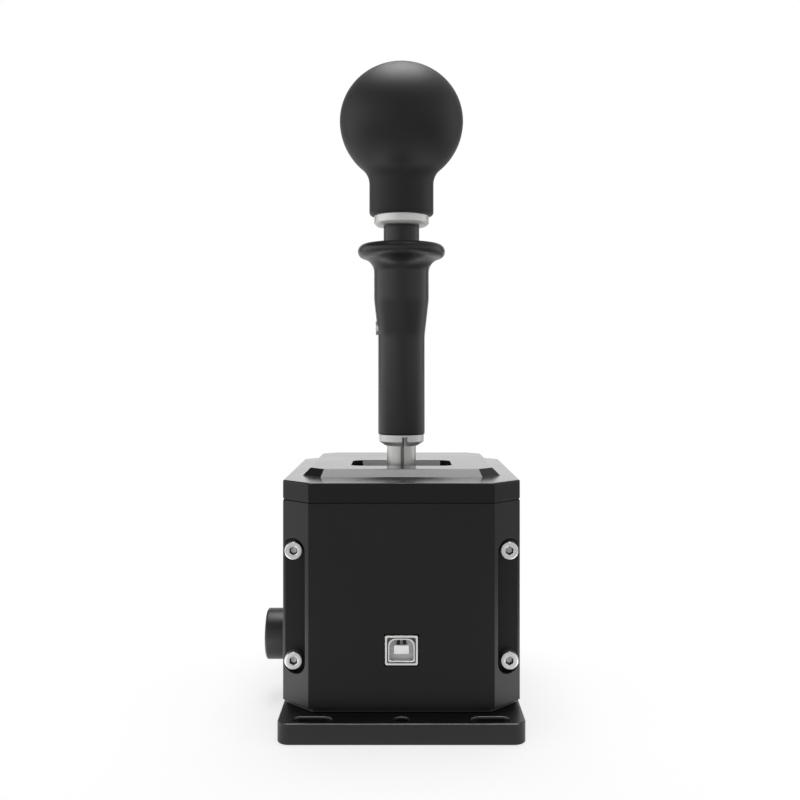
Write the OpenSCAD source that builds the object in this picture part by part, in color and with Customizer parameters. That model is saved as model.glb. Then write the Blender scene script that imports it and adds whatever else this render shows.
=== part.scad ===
// Sim racing gear shifter: a gated lever in a chamfered metal box on a slotted base plate.
// Origin: centre of the base plate's underside. +Z is up, -Y is the face with the USB socket.

/* [Housing] */
// Width of the housing and of the base plate
body_w = 90; // [88:1:94]
// Depth of the housing from the socket face to the far face
body_d = 106; // [104:1:112]
// Size of the 45 degree cut on each vertical corner
corner_cut = 10.6; // [10:0.2:11]
// Height of the walls' top edge
wall_top = 85.3; // [84.9:0.1:88.9]
// Thickness of the side walls and of the two end covers
wall_t = 4; // [3.6:0.1:4.4]
// Height of the shadow gap under the top cover
seam_h = 0.6; // [0.4:0.1:1]
// Thickness of the top cover's rim
rim_h = 7; // [6.5:0.1:8]
// Height of the raised part of the top cover
plateau_h = 3; // [2:0.1:4]
// Lever opening, side to side
slot_w = 41; // [39:0.5:44]
// Lever opening, front to back
slot_d = 23.5; // [23.5:0.5:26]

/* [Base] */
// Depth of the base plate
plate_d = 127; // [124:1:134]
// Thickness of the base plate
plate_t = 7.8; // [7.5:0.1:8.9]
// Height of the pad that lifts the walls off the plate
pad_h = 1.7; // [1:0.1:2]
// Length of a mounting slot
mount_slot_l = 14; // [11:0.5:15]
// Width of a mounting slot
mount_slot_w = 5.4; // [5:0.1:6.4]
// Distance of the mounting slots from the middle, side to side
mount_x = 32.5; // [31:0.5:34]
// Distance of the mounting slots from the plate's front and back edges
mount_inset = 4.8; // [4.6:0.1:6]

/* [Lever] */
// Distance of the lever's axis from the middle of the plate
lever_y = -7.4; // [-8.4:0.2:-6.4]
// Height of the two tilting axes
pivot_z = 56.9; // [56.9:0.1:57.9]
// Diameter of the bare lever rod
rod_d = 12; // [11:0.1:12]
// Diameter of the tube that carries the knob
tube_d = 14.8; // [14.8:0.1:15.2]
// Diameter of the ball knob
ball_d = 51.1; // [46:0.5:56]
// Height of the ball knob's middle
ball_z = 237.5; // [232.5:0.5:245]
// Diameter of the ball knob's neck
neck_d = 26.6; // [24:0.2:30]
// Diameter of the lift sleeve's lower part
sleeve_d = 19.3; // [19:0.1:21]
// Diameter of the lift sleeve's upper part
collar_d = 22.7; // [22:0.1:26]
// Diameter of the lift sleeve's flange
flange_d = 36.2; // [32:0.2:40]
// Travel of the lift sleeve
lift_travel = 7; // [5:0.5:7]

/* [Gate] */
// Diameter of the gate pin
gate_pin_d = 5; // [4.6:0.1:5]
// Thickness of the gate plate
gate_t = 4; // [3.6:0.1:4]

/* [Adjuster] */
// Diameter of the adjusting knob
adjust_d = 20.6; // [18:0.2:24]
// Reach of the adjusting knob beyond the side wall
adjust_reach = 10.5; // [9:0.5:12]
// Height of the adjusting knob's axis
adjust_z = 25.2; // [24.9:0.1:25.9]

/* [Fits] */
// Running clearance on a radius
run_fit = 0.05; // [0.03:0.01:0.08]
// Clearance on a radius between pieces that stay together
seat_fit = 0.02; // [0.01:0.01:0.03]
// Free gap between pieces that pass each other
free_gap = 0.4; // [0.3:0.1:0.5]

/* [Hidden] */

$fn = 48;
black = "#1d1d1f";
silver = "#c8cacd";
steel = "#9a9da1";
brass = "#b8965a";
board_green = "#1f5a3c";
sides = [-1, 1];

// Housing levels and planes
half_w = body_w / 2;
half_d = body_d / 2;
floor_z = plate_t + pad_h;
mount_y = plate_d / 2 - mount_inset;
cover_z = wall_top + seam_h;
ledge_z = cover_z + rim_h;
deck_z = ledge_z + plateau_h;
inner_x = half_w - wall_t;
cover_l = 15;
joint_y = half_d - cover_l;
rib_w = 8.4;
rib_x = half_w - rib_w;
rib_l = 9;
rib_gap = 0.8;
corner_fill = 4;
pocket_deep = 9.6;
seat_y = half_d - pocket_deep;
cover_screw_in = 4.5;
cover_screw_x = half_w - cover_screw_in;
cover_screw_low = 16;
cover_screw_high = 57.3;
cover_screw_z = [floor_z + cover_screw_low, floor_z + cover_screw_high];
pocket_r = 4.7;
pocket_wall = 2;
pocket_in = cover_screw_x - pocket_r - pocket_wall;
base_screw_in = 5;
base_screw_x = half_w - base_screw_in;
base_screw_y = joint_y - base_screw_in;
base_screw_l = 8;
sink_r = 3.6;
sink_h = 2;
sink_set = 0.3;
blind_z = 2.5;
tip_gap = 0.5;
centre_hole_r = 2.6;
edge_bevel = 0.4;
seam_in = 0.5;
blind_skin = 1;
pad_inset = 1.5;
plate_r = 4.5;
slot_r = 4;

// Fasteners: shank, head across, head height
m4_d = 4;
m4_head = 7;
m4_head_h = 4;
m3_d = 3;
m3_head = 5.5;
m3_head_h = 3;
low_head_h = 1.8;
head_edge = 0.4;
hole_play = 0.2;

// Top cover
tab_t = 4;
tab_w = 8;
tab_half = 5;
tab_in = inner_x - tab_w;
tab_y = 20;
top_screw_x = inner_x - tab_w / 2;
top_skin = 4;
ceiling_z = ledge_z - top_skin;
cavity_x = tab_in;
cavity_y = half_d - 2 * wall_t;
ledge_front = 18.1;
ledge_back = 7.1;
ledge_side = 6;
plateau_front = half_d - ledge_front;
plateau_back = half_d - ledge_back;
plateau_half = half_w - ledge_side;
plateau_cut = 7.5;
// How much a 45 degree corner cut shortens when an outline shrinks by one millimetre
cut_rate = 2 - sqrt(2);

// Lever stack, measured from the tilting axes and from each other
ferrule_up = 46.4;
ferrule_h = 4.6;
ferrule_lip = 0.7;
ferrule_taper = 1.7;
ferrule_spigot = 3;
slit_x = 0.3;
slit_w = 2.1;
slit_end = 0.9;
ferrule_low = pivot_z + ferrule_up;
ferrule_top = ferrule_low + ferrule_h;
sleeve_low = ferrule_top;
sleeve_straight = 40.7;
taper_h = 14.9;
collar_h = 23;
taper_low = sleeve_low + sleeve_straight;
taper_top = taper_low + taper_h;
flange_top = taper_top + collar_h;
flange_fillet = 6;
flange_rim = 3;
spring_room = 18;
tube_low = sleeve_low + spring_room;
rod_in_tube = 25;
rod_top = tube_low + rod_in_tube;
tube_show = 7.7;
tube_top = flange_top + tube_show;
knob_ring_h = 4.1;
knob_low = tube_top + knob_ring_h;
stud_r = 5;
stud_l = 22;
stud_top = knob_low + stud_l;
insert_r = 8;
insert_l = 20;
insert_set = 1;
knob_ring_foot = 10.4;
knob_ring_mid = 11.6;
knob_ring_rim = 11.9;
knob_ring_step = 1.2;
neck_edge = 1.5;
neck_join = 1.2;
neck_drop = 3;
crown_drop = 1.35;
rod_r = rod_d / 2;
tube_r = tube_d / 2;
sleeve_r = sleeve_d / 2;
collar_r = collar_d / 2;
flange_r = flange_d / 2;
sleeve_bore_r = tube_r + run_fit;
spring_wall = 0.5;
spring_bore_r = tube_r + spring_wall;
spring_step = 2;
rod_bore_r = rod_r + run_fit;
screw_up = 3.3;
screw_z = taper_low + screw_up;
screw_head_r = 3;
screw_head_h = 1.6;
screw_sink = 0.6;
screw_seat = sleeve_r - screw_sink;
lift_slot_half = 1.7;
tube_wall = 1.5;
groove_w = 1.2;
groove_deep = 1.1;
groove_x = 0.4;
wire_d = 0.8;
wire_set = 0.1;
coil_gap = 0.1;
lift_wire_r = 0.5;
lift_turns = 6;

// Cradle and hub
shift_max = 7.5;
select_max = 14;
hub_half_x = 9;
hub_half_y = 9;
hub_half_h = 8;
hub_boss_h = 12;
hub_low = pivot_z - hub_half_h;
hub_mid = pivot_z + hub_half_h;
hub_top = hub_mid + hub_boss_h;
hub_boss_r = 10;
hub_stem_r = 6;
hub_stem_h = 6;
rod_pin_z = hub_top - hub_boss_h / 2;
pin_recess = 0.2;
rod_up = 5;
rod_low = pivot_z + rod_up;
ring_low = hub_top + free_gap;
ring_h = 2.6;
lockout_r = 8.5;
ring_in_x = 15.5;
ring_side_t = 4.5;
ring_out_x = ring_in_x + ring_side_t;
ring_in_y = 17;
ring_end_t = 4;
ring_out_y = ring_in_y + ring_end_t;
ring_half_h = 7;
ring_r = 3;
shaft_r = 4;
shaft_proud = 2;
cross_r = 3;
cross_bush_r = 4.5;
cross_flange_r = 6;
bush_flange_t = 1;
bush_space = 1;
clip_t = 1;
clip_r = 5;
pin_proud = 0.8;
sector_t = 4;
sector_face = ring_out_x + sector_t;
sector_bar_y = 17;
sector_bar_h = 5.5;
sector_slope = 14;
sector_screw_y = 13;
arm_r = pivot_z - adjust_z;
pad_r = 4;
sector_edge = 2.6;
sector_end = 5.5;
sector_half = pad_r + arm_r * sin(shift_max) + sector_edge;
sector_low = arm_r + pad_r + sector_end;
select_wire_r = 0.75;
select_coil_r = 5.4;
select_turns = 2.5;
select_tail = 5;

// Brackets
bracket_gap = 3;
bracket_in = sector_face + bracket_gap;
bracket_t = 6;
bracket_out = bracket_in + bracket_t;
shaft_end = bracket_out + shaft_proud;
bracket_half_y = 13.5;
bracket_up = 11;
bracket_top = pivot_z + bracket_up;
foot_half_x = 4;
foot_half_y = 21.3;
foot_h = 3.6;
foot_screw_x = bracket_in + bracket_t / 2;
foot_screw_y = 17.4;
pivot_bush_r = 6;

// Gate
gate_drop = 43;
gate_low = pivot_z - gate_drop;
gate_top = gate_low + gate_t;
gate_pin_r = gate_pin_d / 2;
pin_under = 2;
pin_low = gate_low - pin_under;
pin_grip = 2;
pin_top = hub_low + pin_grip;
magnet_r = 1.5;
magnet_h = 1.45;
tilted_pin_r = gate_pin_r / cos(select_max);
column_out = (pivot_z - gate_low) * tan(select_max) / cos(shift_max) + tilted_pin_r + free_gap;
column_in = (pivot_z - gate_top) * tan(select_max) - tilted_pin_r - free_gap;
column_half = (pivot_z - gate_low) * tan(shift_max) + gate_pin_r / cos(shift_max) + free_gap;
middle_half = gate_pin_r + free_gap;
gate_screw_side = 1.8;
gate_screw_end = 4.5;
gate_edge = 3;
gate_screw_x = column_out + gate_screw_side;
gate_screw_y = column_half + gate_screw_end;
gate_half_x = gate_screw_x + gate_edge;
gate_half_y = gate_screw_y + gate_edge;
spacer_r = 3;

// Adjuster and detent, along X from the side wall inwards
boss_r = 8.5;
boss_gap = 2.5;
boss_out = inner_x - boss_gap;
spindle_r = 4;
spindle_end_r = 2.5;
bush_r = 6;
bush_collar_r = 8;
bush_collar_t = 1;
shoulder_r = 5.5;
shoulder_t = 0.8;
collar_gap = 0.1;
shoulder_x = inner_x - bush_collar_t - collar_gap;
nut_r = 5;
nut_key_w = 2;
nut_key_r = 6.3;
nut_gap = 0.3;
nut_play = 0.15;
nut_out = boss_out - nut_gap;
nut_t = 3.6;
nut_travel = 0.94;
disc_t = 0.45;
disc_h = 1.05;
disc_in_r = 2.3;
disc_out_r = 4.4;
disc_gap = 0.05;
plunger_out = nut_out - nut_t - nut_travel - 2 * disc_h - nut_gap;
brake_room = plunger_out - nut_gap;
pad_t = 1.5;
contact_gap = 0.25;
pad_tip = sector_face + contact_gap;
barrel_r = 5;
barrel_gap = 1.2;
barrel_in = sector_face + barrel_gap;
barrel_proud = 0.6;
barrel_out = boss_out + barrel_proud;
nose_r = 1.6;
nose_tip = sector_face + contact_gap;
plunger_flange_r = 3;
barrel_wall = 1.8;
plunger_room = 1.4;
plunger_flange_x = barrel_in + barrel_wall + plunger_room;
plunger_flange_t = 2.6;
barrel_bore_r = 3.1;
dimple_r = 2.1;
dimple_depth = 1;
detent_wire_r = 0.4;
detent_coil_r = 2.2;
detent_pitch = 1.3;

// Adjusting knob
knob_gap = 0.3;
knob_edge = 1;
knob_foot = 0.5;
knob_skin = 3;
grub_r = 2;
grub_set = 4;
grub_x = half_w + knob_gap + grub_set;
grub_sink = 1;

// Electronics
usb_w = 12.04;
usb_h = 10.9;
usb_l = 16.5;
usb_z = 31.1;
usb_proud = 0.3;
usb_wall = 0.6;
usb_gap = 0.4;
usb_cut = 2.2;
tongue_w = 5.6;
tongue_t = 3.2;
tongue_set = 1.2;
insert_back = 5;
insert_side = 2.3;
insert_slot_w = 4;
insert_slot_h = 1.2;
insert_slot_up = 2.4;
insert_slot_deep = 2;
board_t = 1.6;
board_top = usb_z - usb_h / 2;
board_half_x = 20;
board_gap = 0.6;
board_l = 17.4;
board_front = half_d - wall_t - board_gap;
board_back = board_front - board_l;
post_r = 3;
post_x = 16;
post_set = 4;
post_y = [board_front - post_set, board_back + post_r];
board_head_h = 2;
hall_half = 9;
hall_t = 1.2;
chip_half = 1.5;
chip_h = 0.6;
lead_w = 6;
lead_t = 0.5;
lead_back = 5;

function octagon(half_x, low_y, high_y, cut) = [
    [-half_x + cut, low_y], [half_x - cut, low_y], [half_x, low_y + cut], [half_x, high_y - cut],
    [half_x - cut, high_y], [-half_x + cut, high_y], [-half_x, high_y - cut], [-half_x, low_y + cut]];

function arc(cx, cy, r, from, to, steps = 8) =
    [for (i = [0 : steps]) let (a = from + (to - from) * i / steps) [cx + r * cos(a), cy + r * sin(a)]];

function rounded(half_x, half_y, r) = concat(
    arc(half_x - r, half_y - r, r, 0, 90), arc(r - half_x, half_y - r, r, 90, 180),
    arc(r - half_x, r - half_y, r, 180, 270), arc(half_x - r, r - half_y, r, 270, 360));

// Points of a helix round Z with straight tails along its tangents
function coil_path(r, low, pitch, turns, tail = 0) = concat(
    tail > 0 ? [[r, -tail, low]] : [],
    [for (i = [0 : 12 * turns]) let (a = 30 * i) [r * cos(a), r * sin(a), low + pitch * i / 12]],
    tail > 0 ? [let (a = 360 * turns) [r * cos(a) - tail * sin(a), r * sin(a) + tail * cos(a),
        low + pitch * turns]] : []);

function unit(v) = v / norm(v);

function heading(path, i) =
    unit(path[min(i + 1, len(path) - 1)] - path[max(i - 1, 0)]);

// A wire of a given radius swept along a path that never runs straight up
module wire(path, r, around = 8) {
    rings = [for (i = [0 : len(path) - 1])
        let (t = heading(path, i), u = unit(cross([0, 0, 1], t)), v = cross(t, u))
        for (k = [0 : around - 1]) path[i] + r * cos(360 * k / around) * u + r * sin(360 * k / around) * v];
    last = len(path) - 1;
    walls = [for (i = [0 : last - 1], k = [0 : around - 1]) let (n = (k + 1) % around)
        each [[i * around + k, (i + 1) * around + k, (i + 1) * around + n],
            [i * around + k, (i + 1) * around + n, i * around + n]]];
    first_cap = [for (k = [0 : around - 1]) k];
    last_cap = [for (k = [around - 1 : -1 : 0]) last * around + k];
    polyhedron(rings, concat(walls, [first_cap, last_cap]));
}

// A cylinder along +X from x0 to x1, centred on the lever's plane at a height
module rod_x(x0, x1, r, z, y = lever_y) {
    translate([min(x0, x1), y, z]) rotate([0, 90, 0]) cylinder(h = abs(x1 - x0), r = r);
}

// A cylinder along +Y from y0 to y1
module rod_y(y0, y1, r, x, z) {
    translate([x, max(y0, y1), z]) rotate([90, 0, 0]) cylinder(h = abs(y1 - y0), r = r);
}

// A cylinder standing on Z
module post(x, y, z0, z1, r) {
    translate([x, y, z0]) cylinder(h = z1 - z0, r = r);
}

// A box from its two opposite corners
module block(low, high) {
    translate(low) cube(high - low);
}

// A socket-head screw standing on z = 0 with its shank below
module cap_screw(d, head_d, head_h, length) {
    difference() {
        union() {
            cylinder(h = head_h - head_edge, r = head_d / 2);
            translate([0, 0, head_h - head_edge])
                cylinder(h = head_edge, r1 = head_d / 2, r2 = head_d / 2 - head_edge);
            translate([0, 0, -length]) cylinder(h = length, r = d / 2);
        }
        translate([0, 0, head_h / 2]) cylinder(h = head_h, r = d * 0.43, $fn = 6);
    }
}

// Base plate and side walls
module mount_slot(x, y) {
    reach = (mount_slot_l - mount_slot_w) / 2;
    for (side = sides) post(x + side * reach, y, -1, floor_z + 1, mount_slot_w / 2);
    block([x - reach, y - mount_slot_w / 2, -1], [x + reach, y + mount_slot_w / 2, floor_z + 1]);
}

module base_plate() {
    color(black) difference() {
        union() {
            linear_extrude(plate_t) polygon(rounded(half_w, plate_d / 2, plate_r));
            linear_extrude(floor_z)
                polygon(octagon(half_w - pad_inset, pad_inset - half_d, half_d - pad_inset, corner_cut));
        }
        for (x = sides, y = sides) {
            mount_slot(x * mount_x, y * mount_y);
            post(x * base_screw_x, y * base_screw_y, -1, floor_z + 1, m4_d / 2 + hole_play);
            translate([x * base_screw_x, y * base_screw_y, -0.01])
                cylinder(h = sink_set + sink_h + hole_play, r1 = sink_r + 2 * hole_play,
                    r2 = m4_d / 2 + hole_play);
            post(x * gate_screw_x, lever_y + y * gate_screw_y, blind_z, floor_z + 1, m3_d / 2 + seat_fit);
            post(x * foot_screw_x, lever_y + y * foot_screw_y, blind_z, floor_z + 1, m4_d / 2 + seat_fit);
            post(x * post_x, -post_y[max(y, 0)], blind_z, floor_z + 1, m3_d / 2 + seat_fit);
        }
        for (y = sides) post(0, y * mount_y, -1, floor_z + 1, centre_hole_r);
    }
}

module base_screws() {
    color(steel) for (x = sides, y = sides) translate([x * base_screw_x, y * base_screw_y, 0]) difference() {
        union() {
            translate([0, 0, sink_set]) cylinder(h = sink_h, r1 = sink_r, r2 = m4_d / 2);
            translate([0, 0, sink_set + sink_h])
                cylinder(h = floor_z - sink_set - sink_h + base_screw_l, r = m4_d / 2);
        }
        translate([0, 0, sink_set - 1]) cylinder(h = 1 + 0.65 * sink_h, r = 0.36 * m4_d, $fn = 6);
    }
}

// A side wall with a rib at each end and tabs under the top cover, on the +X side
module side_wall() {
    difference() {
        union() {
            block([inner_x, -joint_y, floor_z], [half_w, joint_y, wall_top]);
            for (y = sides) {
                translate([0, y > 0 ? joint_y - rib_l : -joint_y, 0])
                    block([rib_x, 0, floor_z], [inner_x + 1, rib_l, wall_top]);
                translate([0, y * tab_y, 0])
                    block([tab_in, -tab_half, wall_top - tab_t], [inner_x + 1, tab_half, wall_top]);
            }
        }
        for (y = sides) {
            for (z = cover_screw_z)
                rod_y(y * (joint_y + 1), y * (joint_y - rib_l - 1), m4_d / 2 + seat_fit, cover_screw_x,
                    z);
            post(base_screw_x, y * base_screw_y, floor_z - 1, floor_z + base_screw_l + 1,
                m4_d / 2 + seat_fit);
            post(top_screw_x, y * tab_y, wall_top - tab_t - 1, wall_top + 1, m3_d / 2 + hole_play);
        }
    }
}

module right_side_wall() {
    color(black) side_wall();
}

module left_side_wall() {
    color(black) difference() {
        mirror([1, 0, 0]) side_wall();
        rod_x(-half_w - 1, -inner_x + 1, bush_r + seat_fit, adjust_z);
    }
}

// An end cover with solid chamfered corners and the screw pockets, on the -Y side
module end_cover() {
    fill_x = rib_x - rib_gap;
    outline = [[-half_w, -joint_y], [-half_w, -half_d + corner_cut], [-half_w + corner_cut, -half_d],
        [half_w - corner_cut, -half_d], [half_w, -half_d + corner_cut], [half_w, -joint_y],
        [fill_x, -joint_y], [fill_x, fill_x - pocket_in - seat_y], [pocket_in, -seat_y],
        [pocket_in, -half_d + wall_t + corner_fill], [pocket_in - corner_fill, -half_d + wall_t],
        [corner_fill - pocket_in, -half_d + wall_t], [-pocket_in, -half_d + wall_t + corner_fill],
        [-pocket_in, -seat_y], [-fill_x, fill_x - pocket_in - seat_y], [-fill_x, -joint_y]];
    difference() {
        translate([0, 0, floor_z]) linear_extrude(wall_top - floor_z) polygon(outline);
        for (x = sides) {
            for (z = cover_screw_z) {
                rod_y(-half_d - 1, -seat_y, pocket_r, x * cover_screw_x, z);
                rod_y(-half_d - 1, -joint_y + 1, m4_d / 2 + hole_play, x * cover_screw_x, z);
            }
            translate([x * cover_screw_x, 0, 0])
                block([-pocket_r, -half_d - 1, cover_screw_z[0]], [pocket_r, -seat_y, cover_screw_z[1]]);
        }
    }
}

module port_cover() {
    color(black) difference() {
        end_cover();
        block([-usb_w / 2 - usb_gap, -half_d - 1, usb_z - usb_h / 2 - usb_gap],
            [usb_w / 2 + usb_gap, -half_d + wall_t + 1, usb_z + usb_h / 2 + usb_gap]);
    }
}

module far_cover() {
    color(black) mirror([0, 1, 0]) end_cover();
}

module cover_screws() {
    for (x = sides, z = cover_screw_z)
        translate([x * cover_screw_x, -seat_y, z]) rotate([90, 0, 0])
            cap_screw(m4_d, m4_head, m4_head_h, seat_y - joint_y + rib_l - 1);
}

module port_cover_screws() {
    color(silver) cover_screws();
}

module far_cover_screws() {
    color(silver) mirror([0, 1, 0]) cover_screws();
}

// Top cover: bevelled octagonal rim, raised deck with sloped sides, lever opening
module top_cover() {
    deck_low = octagon(plateau_half, -plateau_front, plateau_back, plateau_cut);
    deck_high = octagon(plateau_half - plateau_h, -plateau_front + plateau_h, plateau_back - plateau_h,
        plateau_cut - plateau_h * cut_rate);
    skin = 0.01;
    color(black) difference() {
        union() {
            translate([0, 0, wall_top]) linear_extrude(seam_h + 0.1)
                polygon(octagon(half_w - seam_in, seam_in - half_d, half_d - seam_in,
                    corner_cut - seam_in * cut_rate));
            translate([0, 0, cover_z]) linear_extrude(rim_h - edge_bevel)
                polygon(octagon(half_w, -half_d, half_d, corner_cut));
            hull() {
                translate([0, 0, ledge_z - edge_bevel]) linear_extrude(skin)
                    polygon(octagon(half_w, -half_d, half_d, corner_cut));
                translate([0, 0, ledge_z - skin]) linear_extrude(skin)
                    polygon(octagon(half_w - edge_bevel, edge_bevel - half_d, half_d - edge_bevel,
                        corner_cut - edge_bevel * cut_rate));
            }
            hull() {
                translate([0, 0, ledge_z - skin]) linear_extrude(skin) polygon(deck_low);
                translate([0, 0, deck_z - skin]) linear_extrude(skin) polygon(deck_high);
            }
        }
        block([-cavity_x, -cavity_y, wall_top - 1], [cavity_x, cavity_y, ceiling_z]);
        translate([0, lever_y, 0]) linear_extrude(deck_z + 1)
            polygon(rounded(slot_w / 2, slot_d / 2, slot_r));
        for (x = sides, y = sides)
            post(x * top_screw_x, y * tab_y, wall_top - 1, ledge_z - blind_skin, m3_d / 2 + seat_fit);
    }
}

module top_cover_screws() {
    color(steel) for (x = sides, y = sides)
        translate([x * top_screw_x, y * tab_y, wall_top - tab_t]) mirror([0, 0, 1])
            cap_screw(m3_d, m3_head, m3_head_h, tab_t + seam_h + rim_h - 2 * blind_skin);
}

// USB socket and boards
module usb_shell() {
    front = -half_d - usb_proud;
    in_x = usb_w / 2 - usb_wall;
    in_z = usb_h / 2 - usb_wall;
    mouth = [[-in_x, -in_z], [in_x, -in_z], [in_x, in_z - usb_cut], [in_x - usb_cut, in_z],
        [usb_cut - in_x, in_z], [-in_x, in_z - usb_cut]];
    color(silver) difference() {
        block([-usb_w / 2, front, usb_z - usb_h / 2], [usb_w / 2, front + usb_l, usb_z + usb_h / 2]);
        translate([0, front + usb_l - usb_wall, usb_z]) rotate([90, 0, 0])
            linear_extrude(usb_l) polygon(mouth);
    }
}

module usb_insert() {
    front = -half_d - usb_proud;
    back = front + usb_l - usb_wall;
    in_x = usb_w / 2 - usb_wall - insert_side;
    in_z = usb_h / 2 - usb_wall - seat_fit;
    color("white") {
        difference() {
            block([-in_x, back - insert_back, usb_z - in_z], [in_x, back, usb_z + in_z]);
            block([-insert_slot_w / 2, back - insert_back - 1, usb_z + insert_slot_up],
                [insert_slot_w / 2, back - insert_back + insert_slot_deep,
                    usb_z + insert_slot_up + insert_slot_h]);
        }
        block([-tongue_w / 2, front + tongue_set, usb_z - tongue_t / 2],
            [tongue_w / 2, back - insert_back + 1, usb_z + tongue_t / 2]);
    }
}

module main_board() {
    color(board_green) difference() {
        block([-board_half_x, -board_front, board_top - board_t], [board_half_x, -board_back, board_top]);
        for (x = sides, y = post_y) post(x * post_x, -y, board_top - 3, board_top + 1, m3_d / 2 + hole_play);
    }
}

module board_standoffs() {
    color(brass) for (x = sides, y = post_y) difference() {
        post(x * post_x, -y, floor_z, board_top - board_t, post_r);
        post(x * post_x, -y, floor_z - 1, board_top, m3_d / 2 + seat_fit);
    }
}

module board_screws() {
    color(steel) for (x = sides, y = post_y)
        translate([x * post_x, -y, board_top])
            cap_screw(m3_d, m3_head, board_head_h, board_top - blind_z - tip_gap);
}

module hall_board() {
    color(board_green) {
        block([-hall_half, lever_y - hall_half, floor_z], [hall_half, lever_y + hall_half, floor_z + hall_t]);
        block([-chip_half, lever_y - chip_half, floor_z + hall_t],
            [chip_half, lever_y + chip_half, floor_z + hall_t + chip_h]);
    }
}

// Flat lead from the sensor board along the floor and up to the main board's underside
module sensor_lead() {
    near = lever_y - hall_half;
    rise = -board_back - lead_back;
    top = board_top - board_t;
    route = [[near, floor_z], [near, floor_z + lead_t], [rise + lead_t, floor_z + lead_t],
        [rise + lead_t, top], [rise, top], [rise, floor_z]];
    color("#3a3a3c") translate([-lead_w / 2, 0, 0]) rotate([90, 0, 90])
        linear_extrude(lead_w) polygon(route);
}

// Pivot brackets on the +X side, with a boss for the plunger on the adjuster's axis
module bracket(bore_r) {
    difference() {
        union() {
            block([bracket_in, lever_y - bracket_half_y, floor_z],
                [bracket_out, lever_y + bracket_half_y, bracket_top]);
            block([foot_screw_x - foot_half_x, lever_y - foot_half_y, floor_z],
                [foot_screw_x + foot_half_x, lever_y + foot_half_y, floor_z + foot_h]);
            rod_x(bracket_in + 1, boss_out, boss_r, adjust_z);
        }
        rod_x(bracket_in - 1, bracket_out + 1, pivot_bush_r + seat_fit, pivot_z);
        rod_x(bracket_in - 1, boss_out + 1, bore_r, adjust_z);
        for (y = sides)
            post(foot_screw_x, lever_y + y * foot_screw_y, floor_z - 1, floor_z + foot_h + 1,
                m4_d / 2 + hole_play);
    }
}

module right_bracket() {
    color(steel) bracket(barrel_r + seat_fit);
}

module left_bracket() {
    key_w = nut_key_w + 2 * nut_play;
    color(steel) mirror([1, 0, 0]) difference() {
        bracket(pad_r + run_fit);
        rod_x(brake_room, boss_out + 1, nut_r + nut_play, adjust_z);
        block([brake_room, lever_y - key_w / 2, adjust_z],
            [boss_out + 1, lever_y + key_w / 2, adjust_z + nut_key_r + nut_play]);
    }
}

module bracket_screws() {
    color(steel) for (x = sides, y = sides)
        translate([x * foot_screw_x, lever_y + y * foot_screw_y, floor_z + foot_h])
            cap_screw(m4_d, m4_head, m4_head_h, floor_z + foot_h - blind_z - tip_gap);
}

module pivot_bushes() {
    color(brass) for (side = sides) difference() {
        rod_x(side * bracket_in, side * bracket_out, pivot_bush_r, pivot_z);
        rod_x(side * (bracket_in - 1), side * (bracket_out + 1), shaft_r + run_fit, pivot_z);
    }
}

// Gate plate with a cross channel and three columns
module gate_plate() {
    color(steel) difference() {
        translate([0, lever_y, gate_low]) linear_extrude(gate_t)
            polygon(rounded(gate_half_x, gate_half_y, gate_edge));
        translate([0, lever_y, 0]) {
            block([-column_out, -middle_half, gate_low - 1], [column_out, middle_half, gate_top + 1]);
            block([-middle_half, -column_half, gate_low - 1], [middle_half, column_half, gate_top + 1]);
            for (side = sides) translate([side * (column_in + column_out) / 2, 0, 0])
                block([(column_in - column_out) / 2, -column_half, gate_low - 1],
                    [(column_out - column_in) / 2, column_half, gate_top + 1]);
        }
        for (x = sides, y = sides)
            post(x * gate_screw_x, lever_y + y * gate_screw_y, gate_low - 1, gate_top + 1,
                m3_d / 2 + hole_play);
    }
}

module gate_spacers() {
    color(silver) for (x = sides, y = sides) difference() {
        post(x * gate_screw_x, lever_y + y * gate_screw_y, floor_z, gate_low, spacer_r);
        post(x * gate_screw_x, lever_y + y * gate_screw_y, floor_z - 1, gate_low + 1, m3_d / 2 + hole_play);
    }
}

module gate_screws() {
    color(steel) for (x = sides, y = sides)
        translate([x * gate_screw_x, lever_y + y * gate_screw_y, gate_top])
            cap_screw(m3_d, m3_head, m3_head_h, gate_top - blind_z - tip_gap);
}

// Detent: a sprung plunger in the right bracket, aimed at the detent sector
module detent_barrel() {
    color(silver) difference() {
        rod_x(barrel_in, barrel_out, barrel_r, adjust_z);
        rod_x(barrel_in + barrel_wall, barrel_out - barrel_wall, barrel_bore_r, adjust_z);
        rod_x(barrel_in - 1, barrel_in + barrel_wall + 1, nose_r + hole_play, adjust_z);
    }
}

module detent_plunger() {
    color(silver) {
        translate([nose_tip + nose_r, lever_y, adjust_z]) sphere(r = nose_r);
        rod_x(nose_tip + nose_r, plunger_flange_x, nose_r, adjust_z);
        rod_x(plunger_flange_x, plunger_flange_x + plunger_flange_t, plunger_flange_r, adjust_z);
    }
}

module detent_spring() {
    low = plunger_flange_x + plunger_flange_t + detent_wire_r + coil_gap;
    high = barrel_out - barrel_wall - detent_wire_r - coil_gap;
    turns = max(1, floor((high - low) / detent_pitch));
    color(steel) translate([0, lever_y, adjust_z]) rotate([0, 90, 0])
        wire(coil_path(detent_coil_r, low, (high - low) / turns, turns), detent_wire_r, 6);
}

// Friction brake: pad, plunger and disc springs in the left bracket
module friction_pad() {
    color(brass) rod_x(-pad_tip, -pad_tip - pad_t, pad_r, adjust_z);
}

module friction_plunger() {
    color(silver) rod_x(-pad_tip - pad_t, -plunger_out, pad_r, adjust_z);
}

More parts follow.
